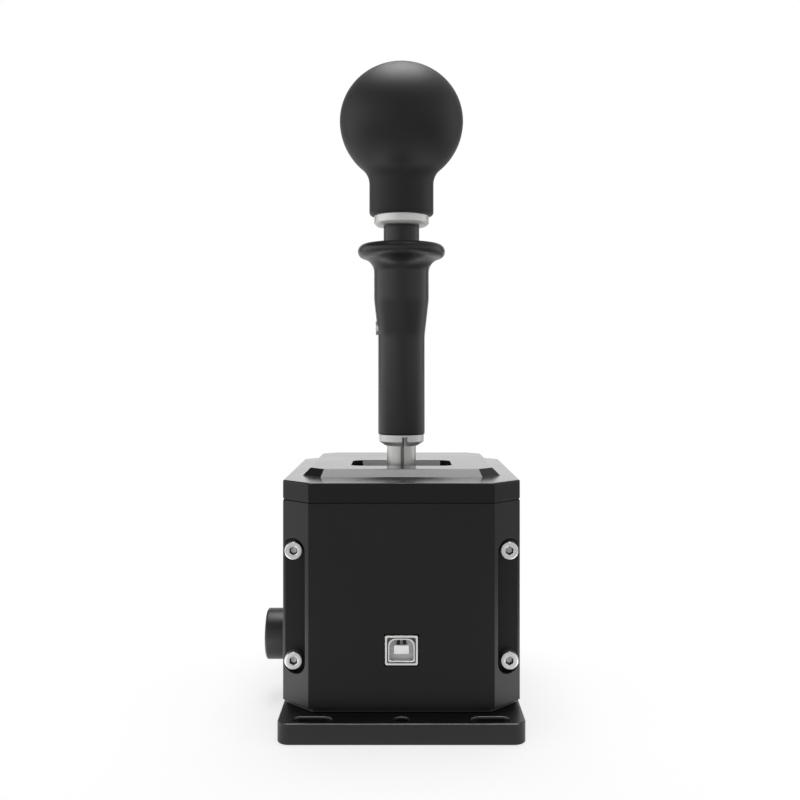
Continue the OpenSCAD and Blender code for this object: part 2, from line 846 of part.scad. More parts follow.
// Two dished washers set mouth to mouth
module friction_springs() {
    outline = [[disc_in_r, 0], [disc_in_r, disc_t], [disc_out_r, disc_h], [disc_out_r, disc_h - disc_t]];
    color(steel) translate([-plunger_out, lever_y, adjust_z]) rotate([0, -90, 0]) {
        translate([0, 0, disc_gap]) rotate_extrude() polygon(outline);
        translate([0, 0, 2 * disc_h + disc_gap + seat_fit]) mirror([0, 0, 1])
            rotate_extrude() polygon(outline);
    }
}

module spindle_bush() {
    color(brass) difference() {
        union() {
            rod_x(-half_w, -inner_x, bush_r, adjust_z);
            rod_x(-inner_x, -inner_x + bush_collar_t, bush_collar_r, adjust_z);
        }
        rod_x(-half_w - 1, -inner_x + bush_collar_t + 1, spindle_r + run_fit, adjust_z);
    }
}

// Cradle: a ring that tilts front to back on two stub shafts
module cradle_frame() {
    color(steel) difference() {
        translate([0, lever_y, pivot_z - ring_half_h])
            linear_extrude(2 * ring_half_h) polygon(rounded(ring_out_x, ring_out_y, ring_r));
        block([-ring_in_x, lever_y - ring_in_y, pivot_z - ring_half_h - 1],
            [ring_in_x, lever_y + ring_in_y, pivot_z + ring_half_h + 1]);
        for (side = sides) {
            rod_x(side * (ring_in_x - 1), side * (ring_out_x + 1), shaft_r + seat_fit, pivot_z);
            for (y = sides) rod_x(side * (ring_in_x + 0.1 * ring_side_t), side * (ring_out_x + 1),
                m3_d / 2 + seat_fit, pivot_z, lever_y + y * sector_screw_y);
        }
        rod_y(lever_y - ring_out_y - 1, lever_y + ring_out_y + 1, cross_r + seat_fit, 0, pivot_z);
    }
}

module cradle_shafts() {
    color(silver) for (side = sides)
        rod_x(side * (ring_in_x + collar_gap), side * shaft_end, shaft_r, pivot_z);
}

module cross_pin() {
    reach = ring_out_y + clip_t + pin_proud;
    color(silver) rod_y(lever_y - reach, lever_y + reach, cross_r, 0, pivot_z);
}

module cross_pin_clips() {
    color(steel) for (side = sides) {
        near = lever_y + side * (ring_out_y + seat_fit);
        difference() {
            rod_y(near, near + side * clip_t, clip_r, 0, pivot_z);
            rod_y(near - side, near + side * (clip_t + 1), cross_r + seat_fit, 0, pivot_z);
        }
    }
}

// An arm hung from the cradle's side, on the +X side
module sector() {
    bar = sector_bar_h;
    outline = [[-sector_bar_y, bar], [-sector_bar_y, -bar], [-sector_half, -bar - sector_slope],
        [-sector_half, -sector_low], [sector_half, -sector_low], [sector_half, -bar - sector_slope],
        [sector_bar_y, -bar], [sector_bar_y, bar]];
    difference() {
        translate([ring_out_x, lever_y, pivot_z]) rotate([90, 0, 90])
            linear_extrude(sector_t) polygon(outline);
        rod_x(ring_out_x - 1, sector_face + 1, shaft_r + seat_fit, pivot_z);
        for (y = sides) rod_x(ring_out_x - 1, sector_face + 1, m3_d / 2 + hole_play, pivot_z,
            lever_y + y * sector_screw_y);
    }
}

module friction_sector() {
    color(silver) mirror([1, 0, 0]) sector();
}

module detent_sector() {
    color(silver) difference() {
        sector();
        for (a = [-shift_max, 0, shift_max])
            translate([0, lever_y, pivot_z]) rotate([a, 0, 0])
                translate([sector_face + dimple_r - dimple_depth, 0, -arm_r]) sphere(r = dimple_r);
    }
}

module sector_screws() {
    color(steel) for (x = sides, y = sides)
        translate([x * sector_face, lever_y + y * sector_screw_y, pivot_z]) rotate([0, x * 90, 0])
            cap_screw(m3_d, m3_head, low_head_h, sector_t + 0.75 * ring_side_t);
}

// Lever hub on the cross pin
module lever_hub() {
    color(steel) difference() {
        union() {
            block([-hub_half_x, lever_y - hub_half_y, hub_low], [hub_half_x, lever_y + hub_half_y, hub_mid]);
            post(0, lever_y, hub_mid - 1, hub_top, hub_boss_r);
            post(0, lever_y, hub_low - hub_stem_h, hub_low + 1, hub_stem_r);
        }
        rod_y(lever_y - hub_half_y - 1, lever_y + hub_half_y + 1, cross_bush_r + seat_fit, 0, pivot_z);
        post(0, lever_y, rod_low, hub_top + 1, rod_r + seat_fit);
        post(0, lever_y, hub_low - hub_stem_h - 1, pin_top, gate_pin_r + seat_fit);
        rod_x(-hub_boss_r - 1, hub_boss_r + 1, m3_d / 2 + seat_fit, rod_pin_z);
    }
}

module hub_bushes() {
    color(brass) for (side = sides) difference() {
        union() {
            rod_y(lever_y + side * bush_space, lever_y + side * hub_half_y, cross_bush_r, 0, pivot_z);
            rod_y(lever_y + side * hub_half_y, lever_y + side * (hub_half_y + bush_flange_t),
                cross_flange_r, 0, pivot_z);
        }
        rod_y(lever_y, lever_y + side * (hub_half_y + bush_flange_t + 1), cross_r + run_fit, 0, pivot_z);
    }
}

module rod_pin() {
    color(silver) rod_x(-hub_boss_r + pin_recess, hub_boss_r - pin_recess, m3_d / 2, rod_pin_z);
}

module gate_pin() {
    color(silver) difference() {
        post(0, lever_y, pin_low, pin_top, gate_pin_r);
        post(0, lever_y, pin_low - 1, pin_low + magnet_h + seat_fit, magnet_r + seat_fit);
    }
}

module tip_magnet() {
    color(steel) post(0, lever_y, pin_low, pin_low + magnet_h, magnet_r);
}

// Two torsion springs on the cross pin that centre the lever side to side
module select_springs() {
    low = hub_half_y + bush_flange_t + select_wire_r + 2.5 * coil_gap;
    high = ring_in_y - select_wire_r - 2.5 * coil_gap;
    pitch = (high - low) / select_turns;
    color(steel) for (side = sides)
        translate([0, lever_y, pivot_z]) rotate([side * -90, 0, 0])
            wire(coil_path(select_coil_r, low, pitch, select_turns, select_tail), select_wire_r, 6);
}

// Lever rod, knob tube and knob
module lever_rod() {
    color(silver) difference() {
        post(0, lever_y, rod_low, rod_top, rod_r);
        block([groove_x - groove_w / 2, lever_y - rod_r - 1, rod_low - 1],
            [groove_x + groove_w / 2, lever_y - rod_r + groove_deep, tube_low + 1]);
        rod_x(-rod_r - 1, rod_r + 1, m3_d / 2 + seat_fit, rod_pin_z);
    }
}

module lever_tube() {
    slot_half = lift_slot_half;
    slot_deep = tube_r - tube_wall;
    color(black) difference() {
        union() {
            post(0, lever_y, tube_low, tube_top, tube_r);
            post(0, lever_y, tube_top - 1, stud_top, stud_r);
        }
        post(0, lever_y, tube_low - 1, rod_top + collar_gap, rod_r + seat_fit);
        block([-tube_r - 1, lever_y - slot_half, screw_z - slot_half - free_gap],
            [-slot_deep, lever_y + slot_half, screw_z + lift_travel + slot_half + free_gap]);
    }
}

module knob_ring() {
    outline = [[stud_r + run_fit, tube_top], [knob_ring_foot, tube_top],
        [knob_ring_mid, tube_top + knob_ring_step], [knob_ring_rim, knob_low], [stud_r + run_fit, knob_low]];
    color(silver) translate([0, lever_y, 0]) rotate_extrude() polygon(outline);
}

module knob_insert() {
    color(brass) translate([0, lever_y, knob_low + insert_set]) difference() {
        cylinder(h = insert_l, r = insert_r);
        translate([0, 0, -1]) cylinder(h = insert_l + 2, r = stud_r + seat_fit);
    }
}

module gear_knob() {
    neck_r = neck_d / 2;
    ball_r = ball_d / 2;
    join_angle = -acos((neck_r + neck_join) / ball_r);
    outline = concat(
        [[0, knob_low], [neck_r - neck_edge, knob_low], [neck_r, knob_low + neck_edge]],
        [[neck_r, ball_z + ball_r * sin(join_angle) - neck_drop]],
        arc(0, ball_z, ball_r, join_angle, 0, 20),
        [for (p = arc(0, 0, ball_r, 4, 90, 22)) [p[0], ball_z + p[1] * (1 - crown_drop / ball_r)]]);
    color(black) translate([0, lever_y, 0]) difference() {
        rotate_extrude($fn = 96) polygon(outline);
        translate([0, 0, knob_low - 1]) cylinder(h = 1 + insert_set + insert_l, r = insert_r + seat_fit);
        translate([0, 0, knob_low - 1]) cylinder(h = stud_l + 2, r = stud_r + seat_fit);
    }
}

// Lift sleeve that slides on the tube
module lift_sleeve() {
    rim_low = flange_top - 2 * flange_rim;
    outline = concat(
        [[spring_bore_r, sleeve_low], [sleeve_r, sleeve_low], [sleeve_r, taper_low], [collar_r, taper_top]],
        arc(collar_r + flange_fillet, rim_low - flange_fillet, flange_fillet, 180, 100, 6),
        arc(flange_r - flange_rim, flange_top - flange_rim, flange_rim, -70, 90, 10),
        [[sleeve_bore_r, flange_top], [sleeve_bore_r, tube_low + spring_step],
            [spring_bore_r, tube_low + spring_step]]);
    color(black) difference() {
        translate([0, lever_y, 0]) rotate_extrude($fn = 72) polygon(outline);
        rod_x(-collar_r - 2, -tube_r + 1, m3_d / 2 + seat_fit, screw_z);
        rod_x(-collar_r - 2, -screw_seat, screw_head_r + collar_gap, screw_z);
    }
}

module sleeve_ferrule() {
    rim_r = sleeve_r - free_gap;
    spigot_r = spring_bore_r - run_fit;
    spigot_top = ferrule_top + ferrule_spigot;
    outline = [[rod_bore_r, ferrule_low], [rod_bore_r + ferrule_lip, ferrule_low],
        [rim_r, ferrule_low + ferrule_taper], [rim_r, ferrule_top], [spigot_r, ferrule_top],
        [spigot_r, spigot_top], [rod_bore_r, spigot_top]];
    color(silver) difference() {
        translate([0, lever_y, 0]) rotate_extrude($fn = 72) polygon(outline);
        block([slit_x, lever_y - sleeve_r - 1, ferrule_low - 1],
            [slit_x + slit_w, lever_y, ferrule_top - slit_end]);
    }
}

module sleeve_screw() {
    color(silver) difference() {
        union() {
            rod_x(-screw_seat, -tube_r + 1, m3_d / 2, screw_z);
            rod_x(-screw_seat - screw_head_h, -screw_seat, screw_head_r, screw_z);
        }
        rod_x(-screw_seat - screw_head_h - 1, -screw_seat - screw_head_h / 2, m3_d / 3, screw_z, $fn = 6);
    }
}

module pull_wire() {
    color(steel) post(groove_x, lever_y - rod_r + wire_d / 2 + wire_set, ring_low + wire_d / 2, ferrule_top,
        wire_d / 2);
}

module lockout_ring() {
    color(silver) difference() {
        post(0, lever_y, ring_low, ring_low + ring_h, lockout_r);
        post(0, lever_y, ring_low - 1, ring_low + ring_h + 1, rod_bore_r);
    }
}

module lift_spring() {
    coil_r = (rod_r + spring_bore_r) / 2;
    low = ferrule_top + ferrule_spigot + lift_wire_r + coil_gap;
    high = tube_low - lift_wire_r - coil_gap;
    pitch = (high - low) / lift_turns;
    color(steel) translate([0, lever_y, 0]) wire(coil_path(coil_r, low, pitch, lift_turns), lift_wire_r, 6);
}

// Adjuster on the left wall
module adjust_knob() {
    near = half_w + knob_gap;
    length = adjust_reach - knob_gap;
    knob_r = adjust_d / 2;
    outline = concat(
        [[0, 0], [knob_r - knob_foot, 0], [knob_r, knob_foot]],
        arc(knob_r - knob_edge, length - knob_edge, knob_edge, 0, 90, 6),
        [[0, length]]);
    color(black) difference() {
        translate([-near, lever_y, adjust_z]) rotate([0, -90, 0]) rotate_extrude($fn = 72) polygon(outline);
        rod_x(-near + 1, -near - length + knob_skin, spindle_r + seat_fit, adjust_z);
        rod_y(lever_y + 1, lever_y + knob_r + 1, grub_r + seat_fit, -grub_x, adjust_z);
    }
}

module adjust_spindle() {
    color(steel) {
        rod_x(-half_w - adjust_reach + knob_skin + hole_play, -shoulder_x, spindle_r, adjust_z);
        rod_x(-shoulder_x, -shoulder_x + shoulder_t, shoulder_r, adjust_z);
        rod_x(-shoulder_x + shoulder_t, -nut_out + nut_t - free_gap, spindle_end_r, adjust_z);
    }
}

module adjuster_nut() {
    color(brass) difference() {
        union() {
            rod_x(-nut_out, -nut_out + nut_t, nut_r, adjust_z);
            block([-nut_out, lever_y - nut_key_w / 2, adjust_z],
                [-nut_out + nut_t, lever_y + nut_key_w / 2, adjust_z + nut_key_r]);
        }
        rod_x(-nut_out - 1, -nut_out + nut_t + 1, spindle_end_r + run_fit, adjust_z);
    }
}

module adjust_grub() {
    knob_r = adjust_d / 2;
    color(steel) difference() {
        rod_y(lever_y + spindle_r + collar_gap, lever_y + knob_r - grub_sink, grub_r, -grub_x, adjust_z);
        rod_y(lever_y + knob_r - 3 * grub_sink, lever_y + knob_r, grub_r / 2, -grub_x, adjust_z, $fn = 6);
    }
}

base_plate();
base_screws();
left_side_wall();
right_side_wall();
port_cover();
far_cover();
port_cover_screws();
far_cover_screws();
top_cover();
top_cover_screws();
usb_shell();
usb_insert();
main_board();
board_standoffs();
board_screws();
left_bracket();
right_bracket();
bracket_screws();
pivot_bushes();
gate_plate();
gate_spacers();
gate_screws();
hall_board();
sensor_lead();
detent_barrel();
detent_plunger();
detent_spring();
spindle_bush();
friction_plunger();
friction_pad();
friction_springs();
cradle_frame();
cradle_shafts();
cross_pin();
cross_pin_clips();
friction_sector();
detent_sector();
sector_screws();
lever_hub();
hub_bushes();
rod_pin();
gate_pin();
tip_magnet();
select_springs();
lever_rod();
lever_tube();
knob_ring();
knob_insert();
gear_knob();
lift_sleeve();
sleeve_ferrule();
sleeve_screw();
pull_wire();
lockout_ring();
lift_spring();
adjust_knob();
adjust_spindle();
adjuster_nut();
adjust_grub();
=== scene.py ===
"""Looks of a gated sim racing shifter: dressed housing, turned lever pieces, finishes and a studio."""

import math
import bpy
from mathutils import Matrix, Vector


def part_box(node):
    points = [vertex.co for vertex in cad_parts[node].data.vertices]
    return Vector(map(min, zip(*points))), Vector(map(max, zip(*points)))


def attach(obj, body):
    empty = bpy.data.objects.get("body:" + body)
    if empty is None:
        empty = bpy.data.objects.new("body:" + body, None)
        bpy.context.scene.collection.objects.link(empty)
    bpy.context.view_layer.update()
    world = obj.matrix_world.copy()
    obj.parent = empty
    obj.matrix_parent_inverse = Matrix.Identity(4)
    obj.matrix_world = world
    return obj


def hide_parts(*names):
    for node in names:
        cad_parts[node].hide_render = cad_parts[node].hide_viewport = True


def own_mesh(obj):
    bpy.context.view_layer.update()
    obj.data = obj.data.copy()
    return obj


bl_info = {
    "name": "Gated shifter looks",
    "version": (1, 0, 0),
    "blender": (4, 5, 0),
    "location": "3D View > Sidebar > Shifter",
    "description": "Dresses the packed shifter with rounded pieces, finishes and a studio",
    "category": "Object",
}

import bmesh
import bpy
import numpy as np
from bpy.props import FloatProperty, FloatVectorProperty, IntProperty, PointerProperty

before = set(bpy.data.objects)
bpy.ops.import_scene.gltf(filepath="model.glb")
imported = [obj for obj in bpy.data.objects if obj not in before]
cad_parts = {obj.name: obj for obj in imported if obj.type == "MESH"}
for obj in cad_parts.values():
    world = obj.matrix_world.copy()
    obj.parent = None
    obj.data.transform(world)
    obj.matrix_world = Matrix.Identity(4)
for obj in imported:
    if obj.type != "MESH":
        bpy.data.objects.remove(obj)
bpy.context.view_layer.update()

MM = 0.001
# Points on each side of a lofted ring.
SIDE_STEPS = 10
# Points closer than this are merged.
MERGE_REACH = 0.002 * MM
# A corner's arc takes no more than this share of a side, and is left out below this length.
MOST_OF_SIDE = 0.49
LEAST_ARC = 0.0001 * MM
# Turns between faces: joined as flat, rounded as an edge, and shaded sharp.
FLAT_TURN = math.radians(0.4)
EDGE_TURN = math.radians(30)
SHARP_TURN = math.radians(33)


def low_high(node):
    """Lowest and highest corner of a solid, as two arrays in metres."""
    low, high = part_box(node)
    return np.array(low), np.array(high)


ROD_LOW, ROD_HIGH = low_high("lever_rod")
LEVER_Y = float(ROD_LOW[1] + ROD_HIGH[1]) / 2
AXIS = np.array([0.0, LEVER_Y, 0.0])


def colour(name, description, value):
    """A colour that a user may change."""
    return FloatVectorProperty(name=name, description=description, default=value, size=3, min=0, max=1,
                               subtype="COLOR")


def number(name, description, value, **limits):
    """A plain number that a user may change, with its limits and unit."""
    return FloatProperty(name=name, description=description, default=value, **limits)


def length(name, description, value):
    """A length that a user may change, in metres."""
    return FloatProperty(name=name, description=description, default=value, min=0, unit="LENGTH",
                         precision=5)


class ShifterFinishes(bpy.types.PropertyGroup):
    """Colours of the finishes."""

    housing: colour("Housing black", "Anodised walls and covers", (0.0065, 0.0067, 0.007))
    plate: colour("Plate black", "Anodised base plate", (0.0025, 0.0026, 0.0028))
    deck: colour("Deck black", "Satin paint of the top cover", (0.0055, 0.0057, 0.006))
    ball: colour("Ball black", "Moulded ball knob", (0.0078, 0.0078, 0.008))
    sleeve: colour("Sleeve black", "Turned lift sleeve and tube", (0.0085, 0.0086, 0.009))
    bright: colour("Bright metal", "Turned lever rod and small pins", (0.6, 0.6, 0.59))
    screw: colour("Screw steel", "Zinc plated screws", (0.8, 0.8, 0.79))
    socket: colour("Socket shell", "Nickel plated socket shell", (0.96, 0.95, 0.94))
    tongue: colour("Socket tongue", "White plastic tongue", (0.93, 0.93, 0.92))
    steel: colour("Inner steel", "Brackets, cradle and hub", (0.46, 0.46, 0.45))
    bronze: colour("Bronze", "Bushes, pad and nut", (0.55, 0.36, 0.17))
    board: colour("Board green", "Circuit boards", (0.012, 0.09, 0.045))


class ShifterSizes(bpy.types.PropertyGroup):
    """Edges, curves and steps that finish the solids."""

    wall_edge: length("Wall edge", "Rounding of the walls' and covers' edges", 0.00025)
    plate_edge: length("Plate edge", "Chamfer of the base plate's edges", 0.0004)
    deck_edge: length("Deck edge", "Rounding of the top cover's edges", 0.0002)
    inner_edge: length("Inner edge", "Rounding of small metal pieces", 0.00015)
    neck_blend: length("Neck blend", "Hollow between the neck and the ball", 0.0085)
    crown: number("Crown", "Height of the ball's upper half as a share of its radius", 0.94716,
                  min=0.5, max=1, subtype="FACTOR")
    turn_steps: IntProperty(name="Turn steps", description="Columns round a turned piece", default=128,
                            min=24)


class ShifterStudio(bpy.types.PropertyGroup):
    """Camera and light."""

    distance: length("Camera distance", "How far the camera stands in front of the middle", 0.418)
    height: length("Camera height", "Height of the camera", 0.1357)
    lens: number("Lens", "Focal length in millimetres", 44.5, min=1, unit="CAMERA")
    overhead: number("Overhead", "Power of the overhead softbox in watts", 8.6, min=0, unit="POWER")
    left_kicker: number("Left kicker", "Power of the low lamp on the left in watts", 0.12, min=0,
                        unit="POWER")
    right_kicker: number("Right kicker", "Power of the low lamp on the right in watts", 0.09, min=0,
                         unit="POWER")
    shadow: number("Floor shadow", "How much of the shadow the floor shows", 0.3, min=0, max=1,
                   subtype="FACTOR")


def mesh_of(name, points, faces, finish_of=None):
    """A mesh from an array of points and an array of faces, welded, turned outwards and smooth."""
    mesh = bpy.data.meshes.new(name)
    mesh.from_pydata(points.reshape(-1, 3).tolist(), [], faces.tolist())
    if finish_of is not None:
        mesh.polygons.foreach_set("material_index", finish_of)
    weld(mesh)
    return mesh


def weld(mesh, flat_turn=0.0):
    """Merges doubles, joins flat neighbours where asked, turns faces outwards and keeps sharp edges."""
    work = bmesh.new()
    work.from_mesh(mesh)
    bmesh.ops.remove_doubles(work, verts=work.verts, dist=MERGE_REACH)
    if flat_turn:
        bmesh.ops.dissolve_limit(work, angle_limit=flat_turn, verts=work.verts, edges=work.edges)
    bmesh.ops.recalc_face_normals(work, faces=work.faces)
    work.to_mesh(mesh)
    work.free()
    mesh.shade_smooth()
    mesh.set_sharp_from_angle(angle=SHARP_TURN)


def grid_faces(rows, columns, wrap_rows=False):
    """Quads of a grid closed round its columns: cell (i, j) joins rows i, i + 1 and columns j, j + 1."""
    i = np.arange(rows if wrap_rows else rows - 1)[:, None]
    j = np.arange(columns)[None, :]
    near, far = i * columns, (i + 1) % rows * columns
    after = (j + 1) % columns
    return np.stack([near + j, near + after, far + after, far + j], -1).reshape(-1, 4)


def surface(name, points, wrap_rows=False, row_finish=None):
    """A mesh from a grid of points, whose first index runs along the profile and second round the piece."""
    rows, columns = points.shape[:2]
    finish_of = None
    if row_finish is not None:
        row_finish = np.array(row_finish, np.int32).reshape(len(row_finish), -1)
        finish_of = np.broadcast_to(row_finish, (len(row_finish), columns)).ravel()
    return mesh_of(name, points, grid_faces(rows, columns, wrap_rows), finish_of)


def eased(corners, radii, steps):
    """A polyline whose inner corners are replaced by arcs that touch both neighbours."""
    corners = np.array(corners, float)
    runs = [corners[:1]]
    for before, here, after, radius in zip(corners[:-2], corners[1:-1], corners[2:], radii):
        a, b = before - here, after - here
        reach_a, reach_b = np.linalg.norm(a), np.linalg.norm(b)
        a, b = a / reach_a, b / reach_b
        half = math.acos(float(np.clip(a @ b, -1, 1))) / 2
        most = MOST_OF_SIDE * min(reach_a, reach_b)
        reach = min(radius / math.tan(half), most) if radius else 0
        if reach < LEAST_ARC:
            runs.append(here[None])
            continue
        centre = here + (a + b) / np.linalg.norm(a + b) * reach / math.cos(half)
        first, last = here + a * reach - centre, here + b * reach - centre
        sweep = math.pi - 2 * half
        t = np.linspace(0, 1, steps + 1)[:, None]
        turned = first * np.sin((1 - t) * sweep) + last * np.sin(t * sweep)
        runs.append(centre + turned / math.sin(sweep))
    runs.append(corners[-1:])
    return np.concatenate(runs)


def arc(centre, radius, start, stop, steps):
    """Points on a circle from one angle to another, in degrees."""
    angle = np.radians(np.linspace(start, stop, steps + 1))
    return np.stack([centre[0] + radius * np.cos(angle), centre[1] + radius * np.sin(angle)], -1)


def spun(profile, steps, centre=AXIS):
    """A profile of radius and height turned about an upright axis: (u, v) is profile point u at angle v."""
    angle = np.linspace(0, 2 * np.pi, steps, endpoint=False)[None, :]
    radius, height = profile[:, :1], profile[:, 1:]
    x, y = radius * np.cos(angle), radius * np.sin(angle)
    return np.stack([x, y, np.broadcast_to(height, x.shape)], -1) + centre


def cut_octagon(half_x, low_y, high_y, cut):
    """A ring round a rectangle with corners cut at 45 degrees, its eight sides each in equal steps."""
    corners = np.array([[cut - half_x, low_y], [half_x - cut, low_y], [half_x, low_y + cut],
                        [half_x, high_y - cut], [half_x - cut, high_y], [cut - half_x, high_y],
                        [-half_x, high_y - cut], [-half_x, low_y + cut]])
    t = np.arange(SIDE_STEPS)[None, :, None] / SIDE_STEPS
    after = np.roll(corners, -1, axis=0)
    return (corners[:, None] * (1 - t) + after[:, None] * t).reshape(-1, 2)


def rounded_slot(half_x, low_y, high_y, low_r, high_r=None):
    """A rectangle with round corners, with as many points a side as a cut octagon."""
    high_r = low_r if high_r is None else high_r
    t = np.arange(SIDE_STEPS)[:, None] / SIDE_STEPS
    low_x, high_x = half_x - low_r, half_x - high_r
    corner_low, corner_high = low_y + low_r, high_y - high_r

    def side(start, stop):
        return np.array(start) * (1 - t) + np.array(stop) * t

    def corner(x, y, radius, begin):
        angle = begin + np.pi / 2 * t
        return np.concatenate([x + radius * np.cos(angle), y + radius * np.sin(angle)], 1)

    return np.concatenate([
        side([-low_x, low_y], [low_x, low_y]), corner(low_x, corner_low, low_r, -np.pi / 2),
        side([half_x, corner_low], [half_x, corner_high]), corner(high_x, corner_high, high_r, 0),
        side([high_x, high_y], [-high_x, high_y]), corner(-high_x, corner_high, high_r, np.pi / 2),
        side([-half_x, corner_high], [-half_x, corner_low]), corner(-low_x, corner_low, low_r, np.pi)])


def at_depth(ring, y):
    """A flat ring stood upright at a depth, so that it faces the front."""
    return np.column_stack([ring[:, 0], np.full(len(ring), y), ring[:, 1]])


def at_height(ring, z):
    """A flat ring lifted to a height."""
    return np.column_stack([ring, np.full(len(ring), z)])


def place(mesh, body, slot, nodes, *materials):
    """An object for a mesh, riding on a body and standing for solids."""
    item = bpy.data.objects.new(mesh.name, mesh)
    bpy.context.scene.collection.objects.link(item)
    for material in materials:
        mesh.materials.append(material)
    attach(item, body)
    if nodes:
        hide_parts(*nodes)
    return item


def round_edges(item, width, segments=2):
    """Rounds the edges of a piece at which its faces turn clearly."""
    bevel = item.modifiers.new("Rounded edges", "BEVEL")
    bevel.width = width
    bevel.segments = segments
    bevel.limit_method = "ANGLE"
    bevel.angle_limit = EDGE_TURN
    bevel.use_clamp_overlap = False
    bevel.loop_slide = False
    bevel.harden_normals = True
    return item


def copied(node, flat_turn=0.0):
    """A copy of a solid's own mesh, merged, with flat neighbours joined where asked."""
    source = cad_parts[node].data
    points = np.empty(len(source.vertices) * 3, np.float32)
    source.vertices.foreach_get("co", points)
    corners = np.empty(len(source.loops), np.int32)
    source.loops.foreach_get("vertex_index", corners)
    mesh = bpy.data.meshes.new(node + ".dressed")
    mesh.from_pydata(points.reshape(-1, 3).tolist(), [], corners.reshape(-1, 3).tolist())
    weld(mesh, flat_turn)
    return mesh


def dressed(node, body, slot, width, material, segments=2):
    """A solid's own mesh, merged into flat faces, with its edges rounded."""
    return round_edges(place(copied(node, FLAT_TURN), body, slot, [node], material), width, segments)


def shader_group(name, inputs, outputs):
    """An empty shader node group with named sockets, and its input and output nodes."""
    group = bpy.data.node_groups.new(name, "ShaderNodeTree")
    for label, kind, value in inputs:
        socket = group.interface.new_socket(name=label, in_out="INPUT", socket_type=kind)
        socket.default_value = value
    for label, kind in outputs:
        group.interface.new_socket(name=label, in_out="OUTPUT", socket_type=kind)
    return group, group.nodes.new("NodeGroupInput"), group.nodes.new("NodeGroupOutput")


def feed(tree, socket, value):
    """Sets a socket to a number, or links another socket to it."""
    if isinstance(value, (int, float)):
        socket.default_value = value
    else:
        tree.links.new(value, socket)


def maths(tree, operation, first, second, clamp=False):
    """A Math node fed by sockets or numbers."""
    node = tree.nodes.new("ShaderNodeMath")
    node.operation = operation
    node.use_clamp = clamp
    feed(tree, node.inputs[0], first)
    feed(tree, node.inputs[1], second)
    return node.outputs[0]


def between(tree, value, low, high):
    """One where a value lies between two bounds, and nought elsewhere."""
    above = maths(tree, "GREATER_THAN", value, low)
    return maths(tree, "MULTIPLY", above, maths(tree, "LESS_THAN", value, high))


def noise(tree, vector, scale, detail):
    """A Noise node's value, with its scale from a socket or a number."""
    node = tree.nodes.new("ShaderNodeTexNoise")
    node.inputs["Detail"].default_value = detail
    tree.links.new(vector, node.inputs["Vector"])
    feed(tree, node.inputs["Scale"], scale)
    return node.outputs[0]


def grain_group():
    """Fine grain on Object coordinates: two noises, one fine and one broad, as a height and a mask."""
    if "Fine grain" in bpy.data.node_groups:
        return bpy.data.node_groups["Fine grain"]
    group, entry, leave = shader_group(
        "Fine grain",
        [("Scale", "NodeSocketFloat", 2500.0), ("Stretch", "NodeSocketVector", (1, 1, 1))],
        [("Height", "NodeSocketFloat"), ("Mask", "NodeSocketFloat")])
    place_of = group.nodes.new("ShaderNodeTexCoord")
    stretch = group.nodes.new("ShaderNodeVectorMath")
    stretch.operation = "MULTIPLY"
    group.links.new(place_of.outputs["Object"], stretch.inputs[0])
    group.links.new(entry.outputs["Stretch"], stretch.inputs[1])
    fine = noise(group, stretch.outputs[0], scale=entry.outputs["Scale"], detail=3.0)
    broad = noise(group, place_of.outputs["Object"], scale=55.0, detail=4.0)
    group.links.new(fine, leave.inputs["Height"])
    group.links.new(broad, leave.inputs["Mask"])
    return group


def handling_group():
    """Marks of handling and dust: a colour a little lighter in patches, and a roughness that follows."""
    if "Handling" in bpy.data.node_groups:
        return bpy.data.node_groups["Handling"]
    group, entry, leave = shader_group(
        "Handling",
        [("Color", "NodeSocketColor", (0, 0, 0, 1)), ("Mask", "NodeSocketFloat", 0.5),
         ("Height", "NodeSocketFloat", 0.5), ("Roughness", "NodeSocketFloat", 0.4),
         ("Amount", "NodeSocketFloat", 0.1)],
        [("Color", "NodeSocketColor"), ("Roughness", "NodeSocketFloat")])
    middle, fleck_share, tint_gain = 0.5, 0.6, 2.4
    swing = maths(group, "SUBTRACT", entry.outputs["Mask"], middle)
    fleck = maths(group, "SUBTRACT", entry.outputs["Height"], middle)
    both = maths(group, "ADD", swing, maths(group, "MULTIPLY", fleck, fleck_share))
    share = maths(group, "MULTIPLY", both, entry.outputs["Amount"])
    lift = maths(group, "ADD", maths(group, "MULTIPLY", share, tint_gain), 1.0)
    tint = group.nodes.new("ShaderNodeVectorMath")
    tint.operation = "SCALE"
    group.links.new(entry.outputs["Color"], tint.inputs[0])
    group.links.new(lift, tint.inputs["Scale"])
    group.links.new(tint.outputs[0], leave.inputs["Color"])
    rough = maths(group, "ADD", entry.outputs["Roughness"], share, clamp=True)
    group.links.new(rough, leave.inputs["Roughness"])
    return group


def grey(value):
    """A neutral colour."""
    return (value, value, value)


